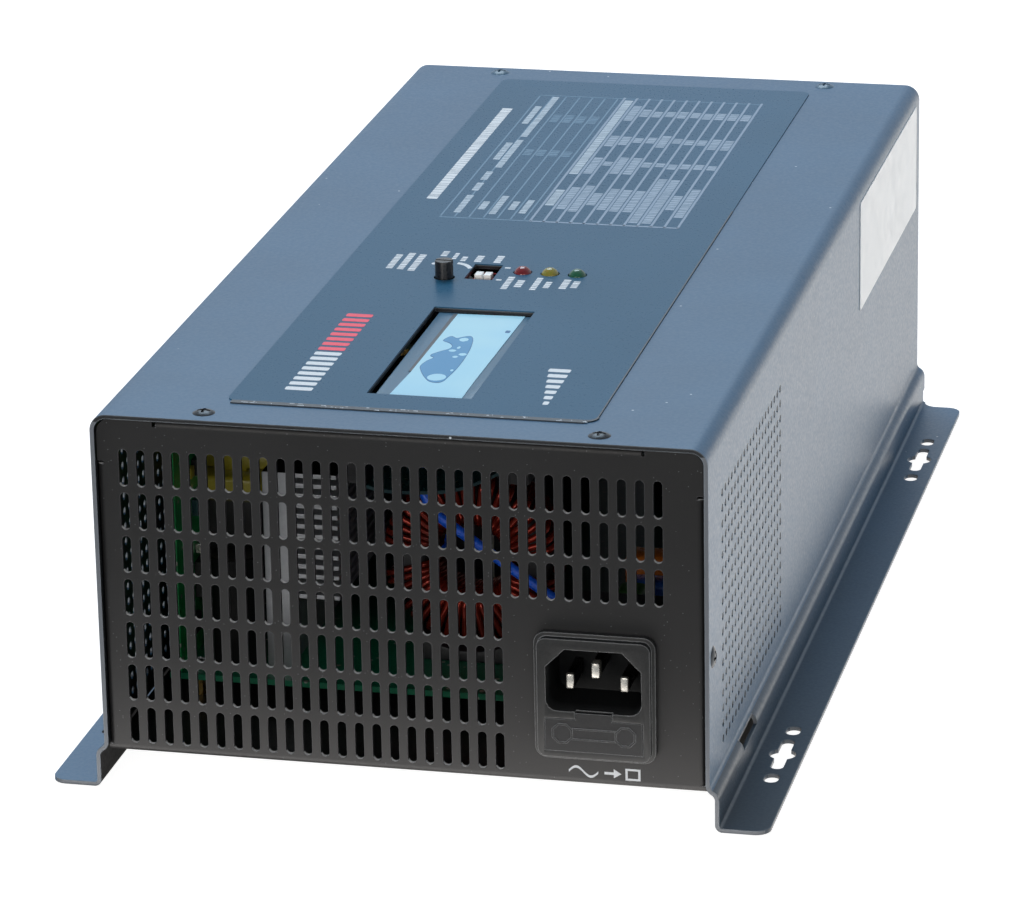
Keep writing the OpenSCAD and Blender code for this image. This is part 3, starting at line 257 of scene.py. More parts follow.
# plain parts: name, two shades, roughness, metallic, the grain's size in millimetres and its bump
plainFinishes = {
    # moulded plastics and epoxy: satin, with a spark texture that breaks the shine
    "trimmer_plastic": ("moulded blue polyester", "#1E2F57", "#25386A", 0.38, 0.0, 0.5, 0.2),
    "switch_plastic": ("moulded red polyamide", "#C21B26", "#A3121C", 0.30, 0.0, 0.7, 0.2),
    "slider_plastic": ("moulded white nylon", "#FFFFFF", "#F4F2EE", 0.38, 0.0, 0.5, 0.15),
    "red_plastic": ("moulded red nylon washer", "#9E141A", "#840F14", 0.38, 0.0, 0.6, 0.25),
    "dark_plastic": ("moulded black polyester", "#15161A", "#1F2024", 0.42, 0.0, 0.6, 0.3),
    "black_epoxy": ("moulded epoxy package", "#141416", "#202124", 0.50, 0.0, 0.4, 0.35),
    # smooth insulation: long soft lines of light
    "white_wire": ("grey-white insulated lead", "#CFD0CC", "#BFC0BB", 0.42, 0.0, 1.2, 0.1),
    "ribbon_cable": ("grey-green vinyl ribbon cable", "#123A40", "#0E3036", 0.30, 0.0, 1.2, 0.1),
    "blue_wire": ("blue insulated lead", "#1C6BFF", "#185EE6", 0.28, 0.0, 1.2, 0.1),
    "brown_wire": ("brown insulated lead", "#5A3220", "#4D2A1B", 0.38, 0.0, 1.2, 0.1),
    "earth_wire": ("green insulated lead", "#2A561E", "#234A19", 0.38, 0.0, 1.2, 0.1),
    # dipped resin, sleeve and tape: glossy with a slow ripple
    "orange_resin": ("dipped film capacitor resin", "#B5651F", "#A35717", 0.28, 0.0, 2.5, 0.12),
    "blue_resin": ("dipped blue capacitor resin", "#2A68C8", "#225AB2", 0.28, 0.0, 2.5, 0.12),
    "capacitor_sleeve": ("black heat-shrunk sleeve", "#1C1D22", "#26272D", 0.34, 0.0, 3.0, 0.06),
    "yellow_tape": ("yellow polyester coil tape", "#B3A832", "#9A8F24", 0.30, 0.0, 2.5, 0.1),
    # plated and turned metal: clear reflections, softened by a fine wear
    "nickel": ("nickel plated brass", "#C9C6BF", "#B4B1AA", 0.26, 1.0, 0.8, 0.06),
    "brass": ("turned brass", "#B79A5B", "#A0864C", 0.30, 1.0, 0.8, 0.08),
    "zinc_steel": ("zinc plated steel", "#B9BCC0", "#9EA2A8", 0.33, 1.0, 0.9, 0.08),
    "black_steel_screw": ("black oxide steel", "#101113", "#1B1D20", 0.30, 0.55, 0.5, 0.12),
    "blackened_brass": ("blackened brass spacer", "#141516", "#1B1C1D", 0.45, 0.3, 0.6, 0.1),
    "enamelled_copper": ("enamelled copper wire", "#8E2A1A", "#5E1A10", 0.16, 0.6, 1.5, 0.15),
    # ferrite is dull and dark grey, the display milky behind and glossy in front
    "ferrite": ("ground ferrite", "#2C2D30", "#38393D", 0.55, 0.0, 0.6, 0.3),
    "display_light": ("milky acrylic light guide", "#D9DED6", "#CBD1C8", 0.42, 0.0, 2.0, 0.05),
    "display_glass": ("liquid crystal cell", "#8FB4D6", "#86ABCE", 0.12, 0.0, 4.0, 0.0),
    # a varnished label shines at a low angle
    "white_label": ("gloss paper label", "#F4FAFF", "#EEF5FC", 0.35, 0.0, 3.0, 0.05,
        {"Specular IOR Level": 0.6, "Coat Weight": 0.3, "Coat Roughness": 0.25}),
}


def plainMaterial(name, colour, second, rough, metal, grain, bump, extra=None):
    material, tree, shader, place = startMaterial(name, {"Metallic": metal, **(extra or {})})
    giveColour(tree, shader, place, grain * 9, colour, second, spread=(0.35, 0.68))
    giveGrain(tree, shader, place, grain, bump, 0.00008, rough)
    return material


# powder-coated steel: fine orange peel, satin, paler where a fold or cut edge catches the light
coverPaint = {
    "colour": "#265576", "drift": "#2A5A7C", "patch": 35, "rough": 0.38, "specular": 0.42,
    "peel": 0.9, "peelBump": 0.10, "edge": "#8E9AA6", "edgeRadius": 0.0005, "edgeShare": 0.65,
    "dust": "#C9D2DA", "dustSize": 2.4, "dustFrom": 0.985,
    # the colour given for the punched holes is a painted highlight
    # the colour given for the right foot is painted shade, faded out towards the rear
    "inside": "#1B1D20", "cutEdge": "#6C7178", "holeHighlight": "#D4D8DC", "foot": "#23272A", "footShade": 0.78,
    "wallFrom": 0.070, "wallMiddle": 0.0791, "wallHalf": 0.0005, "footFrom": 0.0802, "footTop": 0.012,
    "shownFrom": 0.15, "endwise": 0.7, "cutTop": 0.100, "holeMiddle": 0.058, "holeHalf": 0.036,
    "holeFrom": -0.165,
}
panelPaint = {
    "colour": "#19191A", "drift": "#1D1D1E", "patch": 35, "rough": 0.46, "specular": 0.30,
    "peel": 0.45, "peelBump": 0.30, "edge": "#54565A", "edgeRadius": 0.00035, "edgeShare": 0.65,
    "dust": "#6E7073", "dustSize": 0.8, "dustFrom": 0.88,
    # the sill colour is a painted highlight on the lower walls of the slots
    "sillHighlight": "#E4E6E8", "sillTop": 0.0945, "panelBack": frontY + 0.00225,
}


# painted on the faces turned out or up, dark inside and on cut edges, with a painted highlight in pale grey
# on the front-facing walls of the punched holes
def coverLayers(tree, place, values):
    x, y, z = addNode(tree, "ShaderNodeSeparateXYZ", (place,)).outputs
    normal = addNode(tree, "ShaderNodeTexCoord").outputs["Normal"]
    faceX, faceY, faceZ = addNode(tree, "ShaderNodeSeparateXYZ", (normal,)).outputs
    fromMiddle = addNode(tree, "ShaderNodeMath", (x,), operation="ABSOLUTE")
    side = addNode(tree, "ShaderNodeMath", (x,), operation="SIGN")
    turned = addNode(tree, "ShaderNodeMath", (faceX, side), operation="MULTIPLY")
    wall = maskOf(tree, (fromMiddle, "GREATER_THAN", values["wallFrom"]))
    facing = addNode(tree, "ShaderNodeMath", (turned, wall, faceZ), operation="MULTIPLY_ADD")
    endways = addNode(tree, "ShaderNodeMath", (faceY,), operation="ABSOLUTE")
    shown = maskOf(tree, (facing, "GREATER_THAN", values["shownFrom"]),
        (endways, "LESS_THAN", values["endwise"]))
    hidden = addNode(tree, "ShaderNodeMath", (1.0, shown), operation="SUBTRACT")
    # painted shade: the right foot is darkened most at the front and not at all at the rear
    fade = addNode(tree, "ShaderNodeMapRange", (y, -0.17, 0.15, values["footShade"], 0.0))
    foot = maskOf(tree, (x, "GREATER_THAN", values["footFrom"]), (z, "LESS_THAN", values["footTop"]))
    shade = addNode(tree, "ShaderNodeMath", (foot, fade), operation="MULTIPLY")
    cut = maskOf(tree, (faceY, "LESS_THAN", -values["endwise"]), (z, "LESS_THAN", values["cutTop"]))
    # painted highlight: the hole walls that face the front are coloured pale grey
    hole = maskOf(tree, (faceY, "LESS_THAN", -0.72), (y, "GREATER_THAN", values["holeFrom"]),
        (fromMiddle, "COMPARE", values["wallMiddle"], values["wallHalf"]),
        (z, "COMPARE", values["holeMiddle"], values["holeHalf"]))
    masks = {"inside": hidden, "foot": shade, "cutEdge": cut, "holeHighlight": hole}
    return [(mask, values[key]) for key, mask in masks.items()]


def panelLayers(tree, place, values):   # painted highlight: the lower wall of each slot is coloured pale where it would catch the light
    x, y, z = addNode(tree, "ShaderNodeSeparateXYZ", (place,)).outputs
    normal = addNode(tree, "ShaderNodeTexCoord").outputs["Normal"]
    faceZ = addNode(tree, "ShaderNodeSeparateXYZ", (normal,)).outputs[2]
    sillHighlight = maskOf(tree, (faceZ, "GREATER_THAN", 0.3), (z, "LESS_THAN", values["sillTop"]),
        (y, "LESS_THAN", values["panelBack"]))
    return [(sillHighlight, values["sillHighlight"])]


def powderCoat(name, values, layersOf):
    material, tree, shader, place = startMaterial(name, {"Specular IOR Level": values["specular"]})
    edge, rounded = edgeOf(tree, values["edgeRadius"], values["edgeShare"])
    # stray specks of dust, far apart on the cover and close together on the panel
    spacing = {"Vector": place, "Scale": 1000 / values["dustSize"]}
    cells = addNode(tree, "ShaderNodeTexVoronoi", spacing).outputs
    dot = addNode(tree, "ShaderNodeMapRange", (cells["Distance"], 0.16, 0.10))
    chance = addNode(tree, "ShaderNodeSeparateColor", (cells["Color"],))
    rare = maskOf(tree, (chance, "GREATER_THAN", values["dustFrom"]))
    speck = addNode(tree, "ShaderNodeMath", (dot, rare), operation="MULTIPLY")
    layers = layersOf(tree, place, values) + [(edge, values["edge"]), (speck, values["dust"])]
    giveColour(tree, shader, place, values["patch"], values["colour"], values["drift"], layers)
    giveGrain(tree, shader, place, values["peel"], values["peelBump"], 0.00006, values["rough"],
        normal=rounded)
    return material


# printed polyester film: smooth, a little bluer than the paint, a faint ripple
filmValues = {"colour": "#245876", "drift": "#285C7B", "patch": 60, "rough": 0.30, "specular": 0.12,
    "ripple": 0.6, "rippleBump": 0.05}


def printedFilm(values):
    material, tree, shader, place = startMaterial("hard coated polyester film",
        {"Specular IOR Level": values["specular"]})
    giveColour(tree, shader, place, values["patch"], values["colour"], values["drift"], detail=2.0)
    giveGrain(tree, shader, place, values["ripple"], values["rippleBump"], 0.00004, values["rough"],
        (-0.04, 0.05))
    return material


# glass fibre board: green solder mask over darker tracks, with bare pads; one of them has painted shade
# further in
boardValues = {
    "circuit_board": {"name": "green solder mask board", "first": "#127A45", "second": "#1B8D50",
        "gap": "#0B4A2B"},
    "main_board": {"name": "teal green solder mask board", "first": "#129468", "second": "#17A274",
        "gap": "#0C6B4C", "shade": "#10201A", "shadeFrom": 0.062, "shadeTo": 0.092},
    # painted light: a lighter copy of the board finish, for the upright card
    "lit_copy_board": {"name": "green solder mask board, painted lighter", "first": "#1FD070", "second": "#2CE07E",
        "gap": "#149A50"},
}


def circuitBoard(values):
    material, tree, shader, place = startMaterial(values["name"], {"Roughness": 0.34})
    colours = {"Color1": colourOf(values["first"]), "Color2": colourOf(values["second"]),
        "Mortar": colourOf(values["gap"])}
    sizes = {"Scale": 180.0, "Mortar Size": 0.12, "Mortar Smooth": 0.1}
    tracks = addNode(tree, "ShaderNodeTexBrick", {"Vector": place, **colours, **sizes},
        offset=0.37, squash=0.6, squash_frequency=3).outputs
    pads = addNode(tree, "ShaderNodeTexVoronoi", {"Vector": place, "Scale": 260.0}).outputs
    solder = addNode(tree, "ShaderNodeMapRange", (pads["Distance"], 0.20, 0.15))
    shades = {0: solder, 6: tracks["Color"], 7: colourOf("#B9BDB4")}
    body = addNode(tree, "ShaderNodeMix", shades, data_type="RGBA").outputs[2]
    if "shade" in values:          # painted shade further in
        x, y, z = addNode(tree, "ShaderNodeSeparateXYZ", (place,)).outputs
        ends = (frontY + values["shadeFrom"], frontY + values["shadeTo"])
        further = addNode(tree, "ShaderNodeMapRange", (y, *ends, 0.0, 0.85))
        shades = {0: further, 6: body, 7: colourOf(values["shade"])}
        body = addNode(tree, "ShaderNodeMix", shades, data_type="RGBA").outputs[2]
    metal = addNode(tree, "ShaderNodeMapRange", (solder, 0.0, 1.0, 0.0, 0.8))
    raised = {"Height": tracks["Fac"], "Strength": 0.3, "Distance": 0.00005}
    relief = addNode(tree, "ShaderNodeBump", raised)
    given = {"Base Color": body, "Metallic": metal.outputs[0], "Normal": relief.outputs[0]}
    for name, source in given.items():
        tree.links.new(source, shader.inputs[name])
    return material


# drawn glass is clear, cast epoxy lamp bodies are tinted and a little milky; the smear is in millimetres
glassShader = {"IOR": 1.5, "Transmission Weight": 1.0}
epoxyShader = {"IOR": 1.52, "Transmission Weight": 0.35, "Subsurface Weight": 0.15,
    "Subsurface Scale": 0.002}
clearFinishes = {
    "fuse_glass": ("drawn fuse glass", "#F2F7F5", 0.03, 6, 3.0, glassShader),
    "red_lens": ("cast epoxy lens, red", "#8E0F1E", 0.08, 1.2, 2.0, epoxyShader),
    "yellow_lens": ("cast epoxy lens, yellow", "#A39A34", 0.08, 1.2, 2.0, epoxyShader),
    "green_lens": ("cast epoxy lens, green", "#0A6A48", 0.08, 1.2, 2.0, epoxyShader),
}


def clearMaterial(name, colour, rough, smear, detail, settings):
    material, tree, shader, place = startMaterial(name, {"Base Color": colourOf(colour), **settings})
    noise = addNode(tree, "ShaderNodeTexNoise", {"Vector": place, "Scale": 1000 / smear, "Detail": detail})
    level = addNode(tree, "ShaderNodeMapRange", (noise, 0.3, 0.7, rough, rough + 0.06))
    tree.links.new(level.outputs[0], shader.inputs["Roughness"])
    return material


# moulded and painted parts with a painted highlight along every edge (painted shade on the edges of the
# pins), and painted shade down in a recess
edgedFinishes = {
    "black_plastic": {"name": "moulded nylon, fine spark texture", "colour": "#191A1B", "second": "#202122",
        "rough": 0.40, "specular": 0.34, "metal": 0.0, "grain": 0.5, "bump": 0.3,
        "edge": "#B4B7BA", "edgeRadius": 0.00034, "edgeShare": 0.95, "deepFrom": 0.6, "deepTo": 3.5,
        "deep": "#131415"},
    "drawer_plastic": {"name": "moulded nylon, satin", "colour": "#17181A", "second": "#1E1F21",
        "rough": 0.42, "specular": 0.32, "metal": 0.0, "grain": 0.6, "bump": 0.3,
        "edge": "#A6A9AC", "edgeRadius": 0.00018, "edgeShare": 0.95},
    "inlet_metal": {"name": "nickel plated pin, painted dark behind its tip", "colour": "#D9D6CF",
        "second": "#C9C6BF", "rough": 0.28, "specular": 0.5, "metal": 0.9, "grain": 0.8, "bump": 0.06,
        "edge": "#1D1C1B", "edgeRadius": 0.0008, "edgeShare": 1.0, "deepFrom": 2.2, "deepTo": 3.4,
        "deep": "#0C0C0D"},
    "knob_plastic": {"name": "moulded black polyacetal", "colour": "#0B0B0D", "second": "#18181B",
        "rough": 0.30, "specular": 0.5, "metal": 0.0, "grain": 0.7, "bump": 0.3,
        "edge": "#5A5C60", "edgeRadius": 0.00025, "edgeShare": 0.8},
    "display_frame": {"name": "grey-blue painted steel bezel", "colour": "#31607C", "second": "#376784",
        "rough": 0.34, "specular": 0.4, "metal": 0.0, "grain": 0.8, "bump": 0.08,
        "edge": "#A8B4C0", "edgeRadius": 0.0003, "edgeShare": 0.7},
}


def edgedMaterial(values):
    settings = {"Specular IOR Level": values["specular"], "Metallic": values["metal"]}
    material, tree, shader, place = startMaterial(values["name"], settings)
    # the edge colour is painted light: a highlight, and on the pins painted shade
    edge, rounded = edgeOf(tree, values["edgeRadius"], values["edgeShare"])
    layers = [(edge, values["edge"])]
    # painted shade: darker and less shiny further into the recess, by depth from the front
    if "deep" in values:
        x, y, z = addNode(tree, "ShaderNodeSeparateXYZ", (place,)).outputs
        ends = (frontY + values["deepFrom"] / 1000, frontY + values["deepTo"] / 1000)
        deep = addNode(tree, "ShaderNodeMapRange", (y, *ends))
        layers.append((deep, values["deep"]))
        dull = addNode(tree, "ShaderNodeMapRange", (deep, 0.0, 1.0, values["specular"], 0.12))
        tree.links.new(dull.outputs[0], shader.inputs["Specular IOR Level"])
    giveColour(tree, shader, place, values["grain"], values["colour"], values["second"], layers, 2.0)
    giveGrain(tree, shader, place, values["grain"], values["bump"], 0.00006, values["rough"],
        normal=rounded)
    return material


# pan head screws: blackened at the front, the two rear ones painted over with the case
screwValues = {"colour": "#33373B", "second": "#26292C", "paint": "#2B5670", "rough": 0.30, "metal": 0.9,
    "grain": 0.5}


def screwHead(values):
    material, tree, shader, place = startMaterial("blackened pan head screw", {})
    x, y, z = addNode(tree, "ShaderNodeSeparateXYZ", (place,)).outputs
    behind = maskOf(tree, (y, "GREATER_THAN", 0.0))
    metal = addNode(tree, "ShaderNodeMapRange", (behind, 0.0, 1.0, values["metal"], 0.0))
    tree.links.new(metal.outputs[0], shader.inputs["Metallic"])
    giveColour(tree, shader, place, values["grain"] * 9, values["colour"], values["second"],
        [(behind, values["paint"])], spread=(0.35, 0.68))
    giveGrain(tree, shader, place, values["grain"], 0.12, 0.00008, values["rough"])
    return material


# coil tape with painted shade further down, and a heat sink with painted shade on its top faces
tapeValues = {"name": "varnished polyester coil tape", "colour": "#B3A832", "second": "#8E8424",
    "grain": 2.5, "shader": {"Roughness": 0.3}, "dark": "#17171A", "darkTo": (0.0615, 0.0585)}
sinkValues = {"name": "extruded aluminium, dark at its cut top", "colour": "#A9ACB0", "second": "#989BA0",
    "grain": 1.5, "shader": {"Metallic": 0.75, "Roughness": 0.42}, "dark": "#141516", "topFrom": 0.0725}


def shadedMaterial(values):
    material, tree, shader, place = startMaterial(values["name"], values["shader"])
    x, y, z = addNode(tree, "ShaderNodeSeparateXYZ", (place,)).outputs
    # painted shade: on the heat sink's faces turned up above topFrom, and on the tape below the heights in
    # darkTo
    if "topFrom" in values:
        normal = addNode(tree, "ShaderNodeTexCoord").outputs["Normal"]
        faceZ = addNode(tree, "ShaderNodeSeparateXYZ", (normal,)).outputs[2]
        dark = maskOf(tree, (faceZ, "GREATER_THAN", 0.7), (z, "GREATER_THAN", values["topFrom"]))
    else:
        dark = addNode(tree, "ShaderNodeMapRange", (z, *values["darkTo"]))
    giveColour(tree, shader, place, values["grain"], values["colour"], values["second"],
        [(dark, values["dark"])], 2.0, (0.0, 1.0))
    giveGrain(tree, shader, place, values["grain"], 0.1, 0.00008)
    return material


# screen ink lies thin and dull, the protective sheet is smooth with a slow ripple
def softMaterial(name, colour, second, patch, bump, depth, settings):
    material, tree, shader, place = startMaterial(name, settings)
    giveColour(tree, shader, place, patch, colour, second, detail=2.0)
    giveGrain(tree, shader, place, patch, bump, depth)
    return material


def inkMaterial(name, colour, second):
    return softMaterial(name, colour, second, 0.5, 0.1, 0.00003, {"Roughness": 0.42})


def sheetMaterial(name, colour, second, rough):
    return softMaterial(name, colour, second, 22, 0.08, 0.0004,
        {"Roughness": rough, "Specular IOR Level": 0.25})


materials = {slot: plainMaterial(*values) for slot, values in plainFinishes.items()}
materials.update({slot: edgedMaterial(values) for slot, values in edgedFinishes.items()})
materials.update({slot: clearMaterial(*values) for slot, values in clearFinishes.items()})
materials.update({slot: circuitBoard(values) for slot, values in boardValues.items()})
materials["painted_steel"] = powderCoat("slate powder coat on steel", coverPaint, coverLayers)
materials["black_steel"] = powderCoat("fine textured black powder coat", panelPaint, panelLayers)
materials["printed_film"] = printedFilm(filmValues)
materials["cover_screw"] = screwHead(screwValues)
materials["coil_tape"] = shadedMaterial(tapeValues)
materials["shaded_aluminium"] = shadedMaterial(sinkValues)
materials["protective_film"] = sheetMaterial("blue tinted protective sheet", "#BDEEFF", "#B2E8FF", 0.20)

slotOfNode = {part["node"]: part["material_slot"] for part in frame["record"]["subparts"]}
# nodes whose finish isn't the one named for their slot
finishOfNode = {
    "cover_screws": "cover_screw", "inlet_pins": "inlet_metal", "lcd_spacers": "blackened_brass",
    "main_board": "main_board", "transformer_winding": "coil_tape", "transformer_core": "coil_tape",
    "heatsink": "shaded_aluminium", "choke_base": "dark_plastic",
}


def finishOf(nodeName):
    return materials[finishOfNode.get(nodeName, slotOfNode[nodeName])]


def dress(obj, material):
    obj.data.materials.clear()
    obj.data.materials.append(material)


for nodeName, obj in nodes.items():
    dress(obj, finishOf(nodeName))
print("stage: finishes given to the nodes")


# shared ways of making pieces

def newPiece(name, mesh):
    obj = bpy.data.objects.new(name, mesh)
    bpy.context.scene.collection.objects.link(obj)
    return obj


def placePiece(obj, slot, body="case", replaced=(), material=None):
    dress(obj, material or materials[slot])
    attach(obj, body)
    if replaced:
        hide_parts(*replaced)


def smoothUpTo(mesh, degrees):
    form = bmesh.new()
    form.from_mesh(mesh)
    for face in form.faces:
        face.smooth = True
    for edge in form.edges:
        edge.smooth = len(edge.link_faces) == 2 and edge.calc_face_angle(0) < math.radians(degrees)
    form.to_mesh(mesh)
    form.free()


def plainMesh(source):
    view = bpy.context.evaluated_depsgraph_get()
    return bpy.data.meshes.new_from_object(source.evaluated_get(view))


def meshFrom(form, smooth=None):
    mesh = bpy.data.meshes.new("form")
    bmesh.ops.recalc_face_normals(form, faces=form.faces)
    form.to_mesh(mesh)
    form.free()
    if smooth:
        smoothUpTo(mesh, smooth)
    return mesh


def addPiece(name, form, slot, replaced=(), material=None, smooth=None):   # a form that rides on the case
    placePiece(newPiece(name, meshFrom(form, smooth)), slot, "case", replaced, material)


def addForm(target, form):
    mesh = meshFrom(form)
    target.from_mesh(mesh)
    bpy.data.meshes.remove(mesh)


def joinRings(form, rings, closed=True):   # four-sided faces from ring to ring, and back to the first
    count = len(rings[0])
    following = rings[1:] + rings[:1] if closed else rings[1:]
    for low, high in zip(rings, following):
        for i in range(count):
            j = (i + 1) % count
            form.faces.new((low[i], low[j], high[j], high[i]))


def addPrism(form, first, last):   # two outlines, closed over and joined
    rings = [[form.verts.new(point) for point in outline] for outline in (first, last)]
    form.faces.new(rings[0][::-1])
    form.faces.new(rings[1])
    joinRings(form, rings, False)


def roundedBox(low, high, radius, segments=3):   # corners in millimetres from the front edge
    form = bmesh.new()
    bmesh.ops.create_cube(form, size=1)
    for vertex in form.verts:
        vertex.co = at(*[low[i] if vertex.co[i] < 0 else high[i] for i in range(3)])
    bmesh.ops.bevel(form, geom=list(form.edges), offset=radius / 1000, segments=segments, profile=0.5,
        affect="EDGES")
    return form


def barOutline(x0, y0, x1, y1, radius, steps=2):   # an oblong with round corners, anticlockwise
    points = []
    left, right, front, back = x0 + radius, x1 - radius, y0 + radius, y1 - radius
    for quarter, (x, y) in enumerate(((right, back), (left, back), (left, front), (right, front))):
        for step in range(steps + 1):
            a = math.radians(90 * (quarter + step / steps))
            points.append((x + radius * math.cos(a), y + radius * math.sin(a)))
    return points


def arcOutline(x, y, halfWidth, halfLength, degrees):
    turns = [math.radians(a) for a in degrees]
    return [(x + halfWidth * math.cos(a), y + halfLength * math.sin(a)) for a in turns]


def ovalOutline(x, y, halfWidth, halfLength, count):
    return arcOutline(x, y, halfWidth, halfLength, [360 * i / count for i in range(count)])


# parts whose edges were moulded, ground or rolled round: the radius in millimetres
roundedEdges = {
    "inlet_body": 0.14, "inlet_pins": 0.45, "current_knob": 0.35, "dip_body": 0.12, "dip_slider_left": 0.22,
    "dip_slider_right": 0.22, "cover_screws": 0.12, "trimmer_body": 0.25, "fan_frame": 0.8,
    "fan_screws": 0.15, "stud_nuts": 0.3,
    "stud_collar_red": 0.5, "stud_collar_black": 0.5, "transformer_core": 0.35, "transformer_winding": 1.3,
    "input_capacitor": 0.9, "bulk_capacitors": 1.3, "output_capacitors": 0.9,
    "film_capacitor_orange": 1.6, "film_capacitor_blue": 1.6,
    "power_transistors": 0.35, "choke_core": 1.2, "choke_base": 0.5, "heatsink": 0.25, "earth_nut": 0.15,
    "lcd_frame": 0.15,
    "lcd_glass": 0.12, "board_screws": 0.12, "fuse_caps": 0.25, "fan_rotor": 0.4, "lcd_light": 0.3,
}
# the doubles that are merged, the angle up to which faces count as one, and where an edge is rounded
roundingValues = {"merge": 2e-6, "flat": 0.6, "corner": 34, "segments": 3, "smooth": 40}


def roundedCopy(nodeName, radius, values):
    mesh = nodes[nodeName].data.copy()
    form = bmesh.new()
    form.from_mesh(mesh)
    bmesh.ops.remove_doubles(form, verts=form.verts, dist=values["merge"])
    bmesh.ops.dissolve_limit(form, angle_limit=math.radians(values["flat"]), verts=form.verts,
        edges=form.edges)
    form.to_mesh(mesh)
    form.free()
    rough = newPiece("rough", mesh)
    edge = rough.modifiers.new("edge", "BEVEL")
    edge.width = radius / 1000
    edge.segments = values["segments"]
    edge.limit_method = "ANGLE"
    edge.angle_limit = math.radians(values["corner"])
    finished = plainMesh(rough)
    bpy.data.objects.remove(rough)
    smoothUpTo(finished, values["smooth"])
    return newPiece(nodeName + "_rounded", finished)


bodies = frame["record"]["behaviour"]["bodies"]
bodyOfNode = {name: body for body, names in bodies.items() for name in names}
for nodeName, radius in roundedEdges.items():
    copy = roundedCopy(nodeName, radius, roundingValues)
    placePiece(copy, slotOfNode[nodeName], bodyOfNode[nodeName], (nodeName,), finishOf(nodeName))

# the film's front strip, drawn forward as the photograph shows it
stripValues = {"behind": 0.0215, "forward": 0.002}


def drawnFilm(values):
    mesh = nodes["top_film"].data.copy()
    for vertex in mesh.vertices:
        if vertex.co.y < frontY + values["behind"]:
            vertex.co.y -= values["forward"]
    return mesh


placePiece(newPiece("film_sheet", drawnFilm(stripValues)), "printed_film", "case", ("top_film",))
print("stage: rounded copies of moulded and ground parts")

# geometry trees

def startTree(name, inputs):
    tree = bpy.data.node_groups.new(name, "GeometryNodeTree")
    tree.interface.new_socket("Geometry", in_out="INPUT", socket_type="NodeSocketGeometry")
    for label, kind, value in inputs:
        socket = tree.interface.new_socket(label, in_out="INPUT", socket_type="NodeSocket" + kind)
        if value is not None:
            socket.default_value = value
    tree.interface.new_socket("Geometry", in_out="OUTPUT", socket_type="NodeSocketGeometry")
    return tree, addNode(tree, "NodeGroupInput").outputs


def endTree(tree, geometry, material):
    smooth = addNode(tree, "GeometryNodeSetShadeSmooth", (geometry,))
    real = addNode(tree, "GeometryNodeRealizeInstances", (smooth,))
    named = addNode(tree, "GeometryNodeSetMaterial", {"Geometry": real, "Material": material})
    addNode(tree, "NodeGroupOutput", (named,))
    return tree


def growMesh(source, tree, values):
    modifier = source.modifiers.new("grown", "NODES")
    modifier.node_group = tree
    for item in tree.interface.items_tree:
        if item.item_type == "SOCKET" and item.in_out == "INPUT" and item.name in values:
            modifier[item.identifier] = values[item.name]
    mesh = plainMesh(source)
    source.modifiers.remove(modifier)
    bpy.data.objects.remove(source)
    return mesh


# an insulated lead: a round sleeve swept along a filleted route
def leadTree():
    tree, given = startTree("swept lead", [("Diameter", "Float", 0.0028), ("Bend", "Float", 0.004),
        ("Sides", "Int", 14), ("Insulation", "Material", None)])
    route = addNode(tree, "GeometryNodeMeshToCurve", {"Mesh": given["Geometry"]})
    bend = {"Curve": route, "Radius": given["Bend"], "Count": 6, "Limit Radius": True}
    bent = addNode(tree, "GeometryNodeFilletCurve", bend, mode="POLY")
    half = addNode(tree, "ShaderNodeMath", (given["Diameter"], 0.5), operation="MULTIPLY")
    ring = addNode(tree, "GeometryNodeCurvePrimitiveCircle", {"Resolution": given["Sides"], "Radius": half})
    swept = {"Curve": bent, "Profile Curve": ring, "Fill Caps": True}
    tube = addNode(tree, "GeometryNodeCurveToMesh", swept)
    return endTree(tree, tube, given["Insulation"])


sweptLead = leadTree()

leadValues = {
    "blue_lead": {"wire": [(43.4, 44, 37.5), (43.4, 47, 37.5), (39.4, 51, 35.5), (28.4, 50, 40.8),
        (-3.5, 50, 62.6), (-8, 52, 72), (-9, 81, 73.5), (-9, 81, 18.6)], "diameter": 2.8,
        "sleeve": (43.4, 37.5), "slot": "blue_wire"},
    "brown_lead": {"wire": [(57.4, 44, 37.5), (57.4, 47, 37.5), (60.4, 53, 37.5), (60.4, 54, 18.6)],
        "diameter": 2.8, "sleeve": (57.4, 37.5), "slot": "brown_wire"},
    "earth_lead": {"wire": [(50.4, 44, 44.5), (50.4, 47, 44.5), (50.4, 53, 43), (52, 57.8, 37),
        (64, 57.8, 33), (72, 48, 30), (70, 29, 24), (70, 29, 11.9), (70, 22.6, 11.6)], "diameter": 2.8,
        "sleeve": (50.4, 44.4), "slot": "earth_wire"},
    "control_lead": {"wire": [(4, 112, 87), (4, 108, 80), (4, 82, 74), (4, 82, 26.6)], "diameter": 2.4,
        "sleeve": None, "slot": "white_wire"},
    "output_lead_red": {"wire": [(60, 326.8, 46), (60, 326.8, 34), (60, 294, 30), (60, 294, 18.6)],
        "diameter": 4.5, "sleeve": None, "slot": "red_plastic"},
    "output_lead_black": {"wire": [(36, 326.8, 46), (36, 326.8, 34), (36, 294, 30), (36, 294, 18.6)],
        "diameter": 4.5, "sleeve": None, "slot": "dark_plastic"},
}
fitValues = {
    "sides": 16, "bend": 1.9,                                      # bend radius in diameters
    "sleeveHalf": (3.3, 2.9), "sleeveEnds": (41.2, 49.0), "sleeveRadius": 1.1,
    "earthRing": {"centre": (70, 20, 10.05), "radius": 4, "hole": 1.75, "thick": 1.0, "axis": "Z"},
    "studRing": {"radius": 6, "hole": 3.15, "thick": 1.15, "axis": "Y"}, "stud": (328.6, 56),
    "studEnds": (((-2.9, 328.6, 44.2), (2.9, 329.7, 51.4), 0.4),
        ((-2.6, 324.4, 41.0), (2.6, 329.2, 47.4), 0.9)),
}


